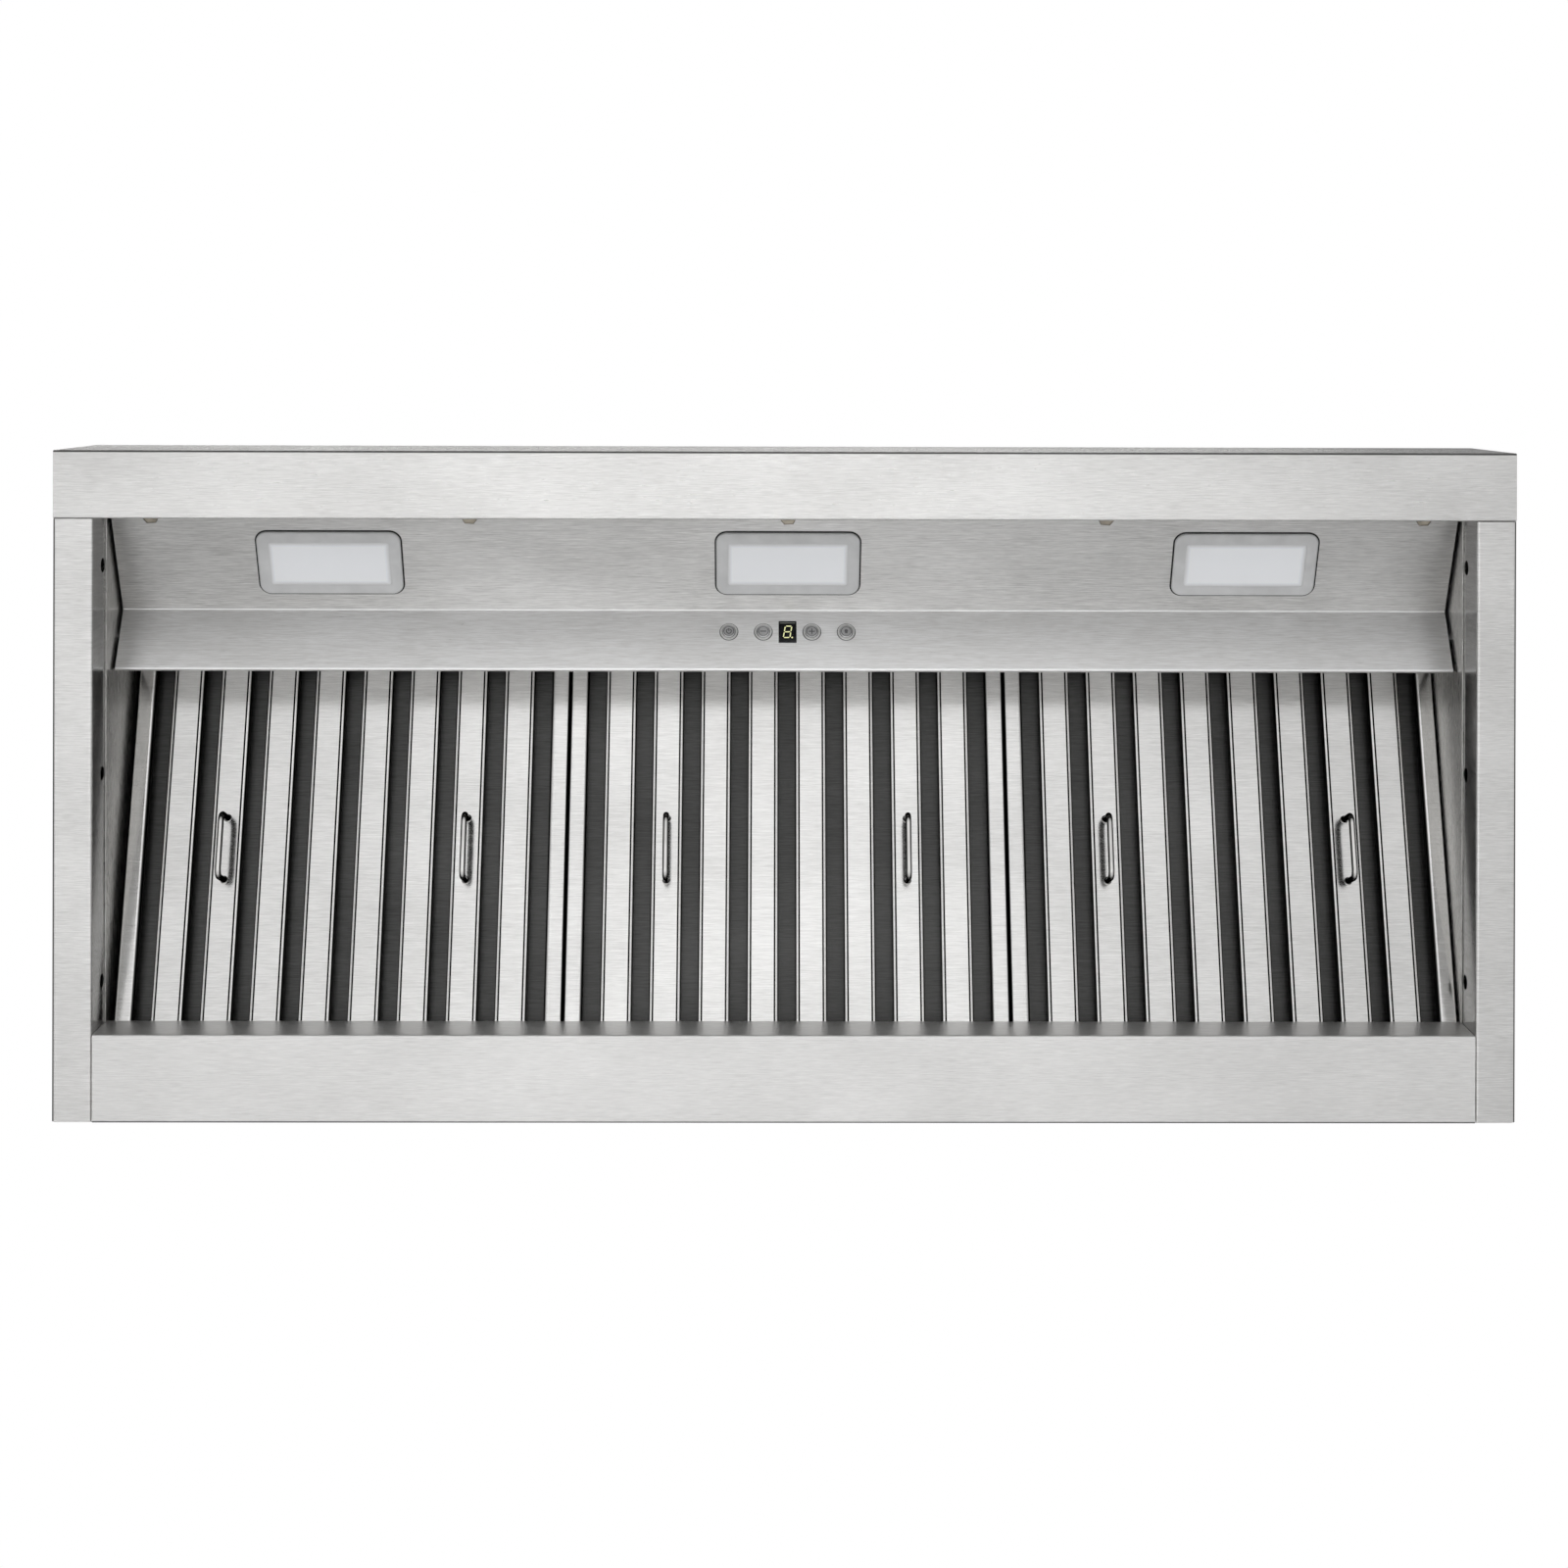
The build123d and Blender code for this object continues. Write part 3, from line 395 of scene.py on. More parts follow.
# ---------------------------------------------------------------- finishes


@dataclass(frozen=True)
class BrushedSteel:
    """Stainless sheet with a long straight brush grain and faint clouding.

    Attributes:
        name: Name of the material.
        grain: Direction of the brush marks.
        light: Colour of the bright streaks.
        dark: Colour of the dull streaks.
        gloss: Roughness of the bright streaks.
        dull: Roughness of the dull streaks.
        spread: How far highlights spread across the brush marks.
        edge: Grey of what the sheet shows at a grazing look.
        bend: Share of the colour that is left in the case's outer bends, where shade is painted as a dark
            line.
        crest_highlight: Whether the sheet's level bends are painted white, as a painted highlight.
        front_painted_light: Factor on the colour of faces that lean to the front, which paints light on them.
        flank_shade: Share of the colour that is left on faces that turn to the left or right, as painted
            shade.
        fine: Scale of the fine marks against the streaks'.
        fine_share: Share of the fine marks in all marks.
        clouds: Scale of the clouding, per metre.
        cloud_share: Share of the clouding in the tone.
        contrast: Tones at which the dull and the bright colour are reached.
        relief: Depth of the marks, in metres.
        fold_shade_color: Colour of the painted shade in the case's outer bends.
        fold_turn: Upright shares of the normal between which a bend leaves a level face.
        fold_upright: Upright shares between which it reaches an upright face.
        flank_turn: Sideways shares between which a face counts as turned to the left or right.
        lean: Shares along the depth between which a face leans to the front.
        crest_turn: Upright shares between which a face is a level bend that gets the painted highlight.
        fold_outward: Shares of the normal between which a bend starts to count as an outer one.
        streaks: Detail and roughness of the long marks' noise.
        fine_detail: Detail of the fine marks' noise.
        cloud_detail: Detail of the clouds' noise.
        bump: Strength of the marks' relief.
        turn: Turn of the drawn-out highlight, as a share of a full turn.
    """

    name: str
    grain: Grain = Grain.ALONG_WIDTH
    light: Triple = (0.90, 0.895, 0.885)
    dark: Triple = (0.63, 0.625, 0.615)
    gloss: float = 0.16
    dull: float = 0.30
    spread: float = 0.75
    edge: float = 0.45
    bend: float = 1.0
    crest_highlight: bool = False
    front_painted_light: float = 1.0
    flank_shade: float = 1.0
    fine: float = 2.4
    fine_share: float = 0.45
    clouds: Triple = (6.0, 11.0, 11.0)
    cloud_share: float = 0.28
    contrast: Point2 = (0.38, 0.62)
    relief: float = 0.00004
    fold_shade_color: Triple = (0.02, 0.02, 0.02)
    fold_turn: Point2 = (0.90, 0.985)
    fold_upright: Point2 = (0.08, 0.30)
    flank_turn: Point2 = (0.3, 0.6)
    lean: Point2 = (-0.45, -0.2)
    crest_turn: Point2 = (0.90, 0.95)
    fold_outward: Point2 = (0.0, 0.04)
    streaks: Point2 = (4.0, 0.62)
    fine_detail: float = 2.0
    cloud_detail: float = 4.0
    bump: float = 0.06
    turn: float = 0.25

    def painted_fold_shade(self, net: ShaderNet) -> Socket:
        """Give the share of colour that is left in the case's outer bends, where shade is painted as a dark
        line.

        Args:
            net: Net of the material.

        Returns:
            The share: one on flat faces, and less where the sheet turns away from the case's middle.
        """
        flat = net.node("ShaderNodeVectorMath", operation="MULTIPLY")
        net.feed(flat.inputs[0], net.coords)
        net.feed(flat.inputs[1], (1.0, 1.0, 0.0))
        outward = net.node("ShaderNodeVectorMath", operation="DOT_PRODUCT")
        net.feed(outward.inputs[0], flat.outputs["Vector"])
        net.feed(outward.inputs[1], net.normal())
        outside = net.spread(outward.outputs["Value"], 0.0, 1.0, *self.fold_outward)
        fall = net.math("ABSOLUTE", net.part(net.normal(), "Z"))
        turned = net.spread(fall, 1.0, 0.0, *self.fold_turn)
        upright = net.spread(fall, 1.0, 0.0, *self.fold_upright)
        rounded = net.math("MULTIPLY", net.math("SUBTRACT", turned, upright), outside)
        return net.math("SUBTRACT", 1.0, net.math("MULTIPLY", rounded, 1.0 - self.bend))

    def make(self) -> Finish:
        """Build the material.

        Returns:
            The material.
        """
        net = ShaderNet(self.name)
        streak = net.noise(self.grain.value, *self.streaks)
        fine = net.noise(tuple(self.fine * value for value in self.grain.value), self.fine_detail)
        marks = net.mixed(streak, fine, self.fine_share)
        clouded = net.mixed(marks, net.noise(self.clouds, self.cloud_detail), self.cloud_share)
        tone = net.spread(clouded, 0.0, 1.0, *self.contrast)
        steel = net.blend(tone, self.dark, self.light)
        # Painted shade: a dark line in the case's outer bends.
        if self.bend < 1.0:
            steel = net.blend(self.painted_fold_shade(net), self.fold_shade_color, steel)
        # Painted shade on faces that turn to the left or right.
        if self.flank_shade < 1.0:
            steel = net.blend(net.facing("X", *self.flank_turn), steel, scaled(self.dark, self.flank_shade))
        # Painted light: faces that lean to the front are made brighter.
        if self.front_painted_light > 1.0:
            leaning = net.spread(net.part(net.normal(), "Y"), 1.0, 0.0, *self.lean)
            painted_lift_tone = net.blend(tone, *(scaled(color, self.front_painted_light) for color in (self.dark, self.light)))
            steel = net.blend(leaning, steel, painted_lift_tone)
        # Painted highlight: level bends are turned white.
        if self.crest_highlight:
            steel = net.blend(net.facing("Z", *self.crest_turn), steel, WHITE)
        brush = net.node("ShaderNodeCombineXYZ", {"X" if self.grain is Grain.ALONG_WIDTH else "Y": 1.0})
        net.bump(marks, self.bump, self.relief)
        return net.surface(
            Base_Color=steel,
            Roughness=net.spread(marks, self.gloss, self.dull),
            Tangent=brush.outputs["Vector"],
            Metallic=1.0,
            Anisotropic=self.spread,
            Anisotropic_Rotation=0.0 if self.grain is Grain.ACROSS_SIDE else self.turn,
            Specular_Tint=(self.edge,) * 3,
        )


@dataclass(frozen=True)
class Galvanised:
    """Zinc-coated sheet with crystal spangles, whose pattern is turned about each axis.

    Attributes:
        name: Name of the material.
        light: Colour of the palest spangles.
        dark: Colour of the darkest spangles.
        spangle: Scale of the spangles, per metre.
        turn: Turn of the pattern about each axis.
        mottle: Scale and detail of the clouds over the spangles.
        mottle_share: Share of those clouds in the tone.
        tones: Tones between which the roughness goes from its least to its most.
        rough: Least and greatest roughness.
        grit: Scale of the fine grit, per metre.
        bump: Strength of the grit's relief.
        relief: Depth of the grit, in metres.
    """

    name: str
    light: Triple = (0.66, 0.68, 0.69)
    dark: Triple = (0.47, 0.49, 0.51)
    spangle: float = 75.0
    turn: Triple = (math.radians(20.0), math.radians(35.0), math.radians(10.0))
    mottle: Point2 = (30.0, 5.0)
    mottle_share: float = 0.55
    tones: Point2 = (0.1, 0.9)
    rough: Point2 = (0.32, 0.52)
    grit: float = 900.0
    bump: float = 0.12
    relief: float = 0.0001

    def make(self) -> Finish:
        """Build the material.

        Returns:
            The material.
        """
        net = ShaderNet(self.name)
        feeds = {"Vector": net.mapped(Rotation=self.turn), "Scale": self.spangle}
        cells = net.node("ShaderNodeTexVoronoi", feeds).outputs["Color"]
        grey = net.node("ShaderNodeSeparateColor", {"Color": cells}).outputs["Red"]
        tone = net.mixed(grey, net.noise(*self.mottle), self.mottle_share)
        net.bump(net.noise(self.grit), self.bump, self.relief)
        rough = net.spread(tone, *self.rough, *self.tones)
        return net.surface(Base_Color=net.blend(tone, self.dark, self.light), Roughness=rough, Metallic=1.0)


@dataclass(frozen=True)
class Metal:
    """Plain metal with fine handling marks, such as wire, screws, castings or a can.

    Attributes:
        name: Name of the material.
        color: Its colour.
        rough: Its roughness.
        marks: Scale of the marks, per metre.
        relief: Depth of the marks, in metres.
        edge: Grey of what the metal shows at a grazing look.
        side: Share of the colour that is left where the surface turns away from straight down, as painted
            shade.
        flank_shade: Share of the colour that is left where the surface turns to the left or right, as painted
            shade.
        smudge: Share of the colour that is left in smudges.
        side_turn: Downward shares of the normal between which a side becomes an underside.
        flank_turn: Sideways shares between which a face counts as turned to the left or right.
        scratches: Detail and roughness of the marks' noise.
        smudges: Scale and detail of the smudges.
        bump: Strength of the marks' relief.
        rough_range: Least and greatest share of the roughness in the marks.
    """

    name: str
    color: Triple
    rough: float = 0.25
    marks: float = 300.0
    relief: float = 0.00005
    edge: float = 1.0
    side: float = 1.0
    flank_shade: float = 1.0
    smudge: float = 0.78
    side_turn: Point2 = (0.68, 0.93)
    flank_turn: Point2 = (0.4, 0.8)
    scratches: Point2 = (4.0, 0.6)
    smudges: Point2 = (40.0, 2.0)
    bump: float = 0.3
    rough_range: Point2 = (0.8, 1.35)

    def make(self) -> Finish:
        """Build the material.

        Returns:
            The material.
        """
        net = ShaderNet(self.name)
        scratch = net.noise(self.marks, *self.scratches)
        smudges = net.spread(net.noise(*self.smudges), 0.0, 1.0)
        tone = net.blend(smudges, self.color, scaled(self.color, self.smudge))
        # Painted shade: surfaces that turn away from straight down are darkened.
        if self.side < 1.0:
            down = net.math("MULTIPLY", net.part(net.normal(), "Z"), -1.0)
            under = net.spread(down, 0.0, 1.0, *self.side_turn)
            tone = net.blend(under, scaled(self.color, self.side), tone)
        # Painted shade on surfaces that turn to the left or right.
        if self.flank_shade < 1.0:
            tone = net.blend(net.facing("X", *self.flank_turn), tone, scaled(self.color, self.flank_shade))
        net.bump(scratch, self.bump, self.relief)
        rough = net.spread(scratch, *(share * self.rough for share in self.rough_range))
        return net.surface(Base_Color=tone, Roughness=rough, Metallic=1.0, Specular_Tint=(self.edge,) * 3)


@dataclass(frozen=True)
class Plastic:
    """Moulded plastic, rubber or coated board with a fine spark-eroded texture.

    Attributes:
        name: Name of the material.
        color: Its colour.
        rough: Its roughness.
        texture: Scale of the texture, per metre.
        relief: Depth of the texture, in metres.
        coat: Weight of a clear coat.
        pits: Detail and roughness of the texture's noise.
        smudges: Scale and detail of the smudges.
        smudge: Share of the colour that is left in them.
        bump: Strength of the texture's relief.
        rough_range: Least and greatest share of the roughness in the texture.
        coat_rough: Roughness of the clear coat.
    """

    name: str
    color: Triple
    rough: float = 0.45
    texture: float = 1600.0
    relief: float = 0.00004
    coat: float = 0.0
    pits: Point2 = (3.0, 0.6)
    smudges: Point2 = (60.0, 2.0)
    smudge: float = 0.88
    bump: float = 0.3
    rough_range: Point2 = (0.85, 1.2)
    coat_rough: float = 0.05

    def make(self) -> Finish:
        """Build the material.

        Returns:
            The material.
        """
        net = ShaderNet(self.name)
        pits = net.noise(self.texture, *self.pits)
        smudges = net.spread(net.noise(*self.smudges), 0.0, 1.0)
        color = net.blend(smudges, self.color, scaled(self.color, self.smudge))
        net.bump(pits, self.bump, self.relief)
        rough = net.spread(pits, *(share * self.rough for share in self.rough_range))
        coat = {"Coat_Weight": self.coat, "Coat_Roughness": self.coat_rough}
        return net.surface(Base_Color=color, Roughness=rough, **coat)


@dataclass(frozen=True)
class LampDiffuser:
    """Frosted lamp window, paler and painted as glowing inside a soft-edged rectangle on its slope, with
    sizes in metres.

    Attributes:
        name: Name of the material.
        middle: Middle of the window.
        half_width: Half of the pale rectangle's width.
        half_height: Half of its height.
        soft: Width of its soft edge.
        pale: Colour inside the rectangle.
        edge: Colour outside of it.
        painted_glow: Strength of the light painted into the window inside the rectangle, though the lamp is
            off.
        grain: Scale and detail of the frosting.
        bump: Strength of the frosting's relief.
        relief: Depth of the frosting.
        rough: Least and greatest roughness.
        shine: Level of the mirror light.
    """

    name: str
    middle: Vector
    half_width: float = 0.0500
    half_height: float = 0.0205
    soft: float = 0.0042
    pale: Triple = (0.83, 0.845, 0.87)
    edge: Triple = (0.77, 0.775, 0.78)
    painted_glow: float = 0.19
    grain: Point2 = (1400.0, 2.0)
    bump: float = 0.15
    relief: float = 0.00003
    rough: Point2 = (0.38, 0.52)
    shine: float = 0.4

    def make(self) -> Finish:
        """Build the material.

        Returns:
            The material.
        """
        net = ShaderNet(self.name)
        place = net.mapped("TEXTURE", Location=self.middle, Rotation=LAMP_SLOPE.matrix().to_euler())
        across, along = (
            net.math("SUBTRACT", half, net.math("ABSOLUTE", net.part(place, key)))
            for half, key in ((self.half_width, "X"), (self.half_height, "Y"))
        )
        # Mask of the painted light, one inside the rectangle and none at its edge.
        painted_glow = net.spread(net.math("MINIMUM", across, along), 0.0, 1.0, 0.0, self.soft)
        grain = net.noise(*self.grain)
        net.bump(grain, self.bump, self.relief)
        return net.surface(
            Base_Color=net.blend(painted_glow, self.edge, self.pale),
            Emission_Color=net.blend(painted_glow, (0.0, 0.0, 0.0), self.pale),
            Roughness=net.spread(grain, *self.rough),
            Specular_IOR_Level=self.shine,
            Emission_Strength=self.painted_glow,
        )


@dataclass(frozen=True)
class LitSegment:
    """Glowing bar of the display.

    Attributes:
        name: Name of the material.
        color: Its colour.
        strength: Strength of its light.
        grain: Scale and detail of its grain.
        shade: Share of the colour that is left in the grain.
        rough: Least and greatest roughness.
    """

    name: str
    color: Triple = (0.74, 0.74, 0.40)
    strength: float = 0.58
    grain: Point2 = (900.0, 2.0)
    shade: float = 0.8
    rough: Point2 = (0.3, 0.45)

    def make(self) -> Finish:
        """Build the material.

        Returns:
            The material.
        """
        net = ShaderNet(self.name)
        grain = net.noise(*self.grain)
        return net.surface(
            Base_Color=net.blend(grain, self.color, scaled(self.color, self.shade)),
            Roughness=net.spread(grain, *self.rough),
            Emission_Strength=self.strength,
            Emission_Color=self.color,
        )


class Palette:
    """The finishes that the sub-assemblies share."""

    def __init__(self) -> None:
        """Build each finish once."""
        # The sheet gets painted shade on faces that turn to the left or right.
        self.sheet = BrushedSteel(
            "brushed_sheet", dark=(0.66, 0.655, 0.645), gloss=0.12, dull=0.20, flank_shade=0.07
        ).make()
        # The rims get painted shade, a dark line in their outer bends.
        self.rim = BrushedSteel("brushed_rim", edge=0.0, bend=0.12).make()
        self.rear_rim = BrushedSteel(
            "brushed_rear_rim", light=(0.97, 0.965, 0.955), dark=(0.74, 0.735, 0.725), gloss=0.34, dull=0.5,
            spread=0.2, edge=1.0, bend=0.12,
        ).make()
        self.side_rim = BrushedSteel(
            "brushed_side_rim", Grain.ACROSS_SIDE, gloss=0.12, dull=0.22, spread=0.3, edge=0.3, bend=0.12
        ).make()
        # The panel gets a painted highlight in its level bends and painted light on its front slope.
        self.panel = BrushedSteel(
            "brushed_panel", dark=(0.56, 0.555, 0.545), gloss=0.27, dull=0.42, spread=0.8, edge=0.8,
            crest_highlight=True, front_painted_light=1.36,
        ).make()
        self.wall = BrushedSteel(
            "brushed_wall", Grain.ALONG_DEPTH, (0.78, 0.77, 0.75), (0.54, 0.53, 0.51), 0.22, 0.34, 0.5, 0.6
        ).make()
        # The rear slats are painted near black, as the shade in the slots between the front slats.
        self.slot = BrushedSteel(
            "painted_shade_sheet", light=(0.115, 0.115, 0.113), dark=(0.06, 0.06, 0.059), gloss=0.3, dull=0.5
        ).make()
        self.zinc = Galvanised("galvanised_sheet").make()
        # The wire gets painted shade where it turns away from straight down.
        self.wire = Metal("polished_wire", (0.96, 0.95, 0.93), 0.05, edge=0.0, side=0.10).make()
        self.screw = Metal("screw_steel", (0.44, 0.40, 0.33), 0.14, 700.0, edge=0.1, flank_shade=0.15).make()
        self.shaft = Metal("turned_steel", (0.55, 0.55, 0.56), 0.2, 900.0).make()
        self.casting = Metal("motor_casting", (0.42, 0.43, 0.44), 0.5, 500.0, 0.0002).make()
        self.can = Metal("aluminium_can", (0.75, 0.76, 0.77), 0.28, 200.0).make()
        self.stud = Metal("plated_stud", (0.66, 0.62, 0.50), 0.3).make()
        # Caps and rings get painted shade where they turn to the left or right.
        self.cap = Metal("button_cap_metal", (0.70, 0.70, 0.705), 0.32, 900.0, flank_shade=0.1).make()
        self.ring = Metal("button_ring_metal", (0.93, 0.925, 0.915), 0.34, 900.0, flank_shade=0.04).make()
        self.mark = Plastic("symbol_paint", (0.13, 0.13, 0.135), 0.5).make()
        self.smoke = Plastic("display_bevel", (0.24, 0.25, 0.22), 0.2, 400.0, 0.00001, 0.6).make()
        self.bezel = Plastic("frosted_bezel", (0.77, 0.775, 0.78), 0.42).make()
        self.housing = Plastic("lamp_tray_plastic", (0.07, 0.07, 0.075), 0.5).make()
        self.black = Plastic("display_black", (0.006, 0.006, 0.008), 0.16, 400.0, 0.00001, 0.6).make()
        self.board = Plastic("board_green", (0.03, 0.13, 0.06), 0.3, 500.0, 0.00003, 0.4).make()
        self.rubber = Plastic("bush_rubber", (0.02, 0.02, 0.02), 0.7).make()
        self.digit = LitSegment("lit_segment").make()


# ---------------------------------------------------------------- mesh work


def placed(name: str, data: Optional[bpy.types.ID], matrix: Optional[Matrix] = None) -> Piece:
    """Put an object of a mesh, light or camera in the scene.

    Args:
        name: Name of the object.
        data: Its mesh, light or camera.
        matrix: Its place, or none for the origin.

    Returns:
        The object.
    """
    made = bpy.data.objects.new(name, data)
    if matrix is not None:
        made.matrix_world = matrix
    bpy.context.scene.collection.objects.link(made)
    return made


def tidy_shell(piece: Piece) -> None:
    """Merge doubles, turn the faces outwards and shade smooth between the sharp edges.

    Args:
        piece: Mesh object of closed shells.
    """
    work = bmesh.new()
    work.from_mesh(piece.data)
    bmesh.ops.remove_doubles(work, verts=work.verts, dist=MERGE)
    bmesh.ops.recalc_face_normals(work, faces=work.faces)
    work.to_mesh(piece.data)
    work.free()
    piece.data.shade_smooth()
    piece.data.set_sharp_from_angle(angle=CREASE)


def mesh_piece(name: str, points: list[Sequence[float]], faces: list[Sequence[int]], finish: Finish) -> Piece:
    """Make an object of a mesh.

    Args:
        name: Name of the object.
        points: The mesh's points, in metres.
        faces: Its faces, as the points' numbers.
        finish: Its finish.

    Returns:
        The object.
    """
    mesh = bpy.data.meshes.new(name)
    mesh.from_pydata(points, [], faces)
    mesh.materials.append(finish)
    return placed(name, mesh)


def round_rectangle(width: float, height: float, radius: float, steps: int = 10) -> Outline:
    """Give the outline of a rectangle with rounded corners.

    Args:
        width: Size along the first axis.
        height: Size along the second axis.
        radius: Corner radius.
        steps: Segments in each corner.

    Returns:
        The outline's points, anticlockwise.
    """
    points = []
    for number, (sx, sy) in enumerate(((1, 1), (-1, 1), (-1, -1), (1, -1))):
        middle = (sx * (width / 2 - radius), sy * (height / 2 - radius))
        for step in range(steps + 1):
            angle = math.radians(90.0 * number + 90.0 * step / steps)
            points.append((middle[0] + radius * math.cos(angle), middle[1] + radius * math.sin(angle)))
    return points


def circle(radius: float, steps: int = 48) -> Outline:
    """Give a circle's points, anticlockwise."""
    turns = [2.0 * math.pi * step / steps for step in range(steps)]
    return [(radius * math.cos(turn), radius * math.sin(turn)) for turn in turns]


def stacked(
    shape: Callable[..., Outline], profile: Profile, size: float = 0.0, height: float = 0.0, **more: int
) -> Loops:
    """Give a shape's outlines, each with its height.

    Args:
        shape: Function that gives an outline for a size.
        profile: Pairs of a step in size and a step in height.
        size: Size that the steps start from.
        height: Height that the steps start from.
        more: Further values for the shape.

    Returns:
        The outlines and their heights.
    """
    return [(shape(size + growth, **more), height + rise) for growth, rise in profile]


def loft(name: str, loops: Loops, finish: Finish, place: Matrix, ring: bool = False) -> Piece:
    """Make a closed shell through outlines at different heights.

    Args:
        name: Name of the piece.
        loops: Outlines of equal point counts, each with its height.
        finish: Finish of the shell.
        place: Matrix from the outlines' frame to the part's.
        ring: Whether the last outline joins the first, as in a frame, rather than both being capped.

    Returns:
        The piece, in its place.
    """
    count, levels = len(loops[0][0]), len(loops)
    points = [metres(x, y, z) for outline, z in loops for x, y in outline]
    faces: list[Sequence[int]] = []
    for level in range(levels if ring else levels - 1):
        low, high = level * count, (level + 1) % levels * count
        for step in range(count):
            after = (step + 1) % count
            faces.append((low + step, low + after, high + after, high + step))
    if not ring:
        faces += [range(count)[::-1], range((levels - 1) * count, levels * count)]
    piece = mesh_piece(name, points, faces, finish)
    piece.data.transform(place)
    tidy_shell(piece)
    return piece


def joined(name: str, parts: Sequence[Piece]) -> Piece:
    """Join mesh objects that sit at the origin.

    Args:
        name: Name of the whole.
        parts: The objects. All but the first are removed.

    Returns:
        The whole, with each part's finish.
    """
    whole = parts[0]
    work = bmesh.new()
    finishes: list[Finish] = []
    for part in parts:
        offset = len(work.faces)
        work.from_mesh(part.data)
        finish = next(entry for entry in part.data.materials if entry)
        if finish not in finishes:
            finishes.append(finish)
        work.faces.ensure_lookup_table()
        for face in work.faces[offset:]:
            face.material_index = finishes.index(finish)
    mesh = bpy.data.meshes.new(name)
    work.to_mesh(mesh)
    work.free()
    for finish in finishes:
        mesh.materials.append(finish)
    for part in parts[1:]:
        bpy.data.objects.remove(part)
    whole.data, whole.name = mesh, name
    mesh.set_sharp_from_angle(angle=CREASE)
    return whole


def dress(finish: Finish, *nodes: str) -> None:
    """Give solids that stay their procedural finish.

    Args:
        finish: Finish for all of them.
        nodes: Names of the solids.
    """
    for node in nodes:
        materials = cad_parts[node].data.materials
        for number in range(len(materials)):
            materials[number] = finish
        LOG.info("%s keeps its solid, finish %s", node, finish.name)


def attach(piece: Piece, body: str, slot: str, *nodes: str) -> None:
    """Let a piece ride on a body.

    Args:
        piece: The piece.
        body: Name of the body.
        slot: Name of the slot; not used.
        nodes: Names of the solids that it stands for, or none where it adds to them.
    """
    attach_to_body(piece, body)
    if nodes:
        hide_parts(*nodes)
    faces = len(piece.data.polygons)
    LOG.info("%s on %s stands for %s, %d faces", piece.name, body, nodes or "nothing", faces)


# ---------------------------------------------------------------- studio


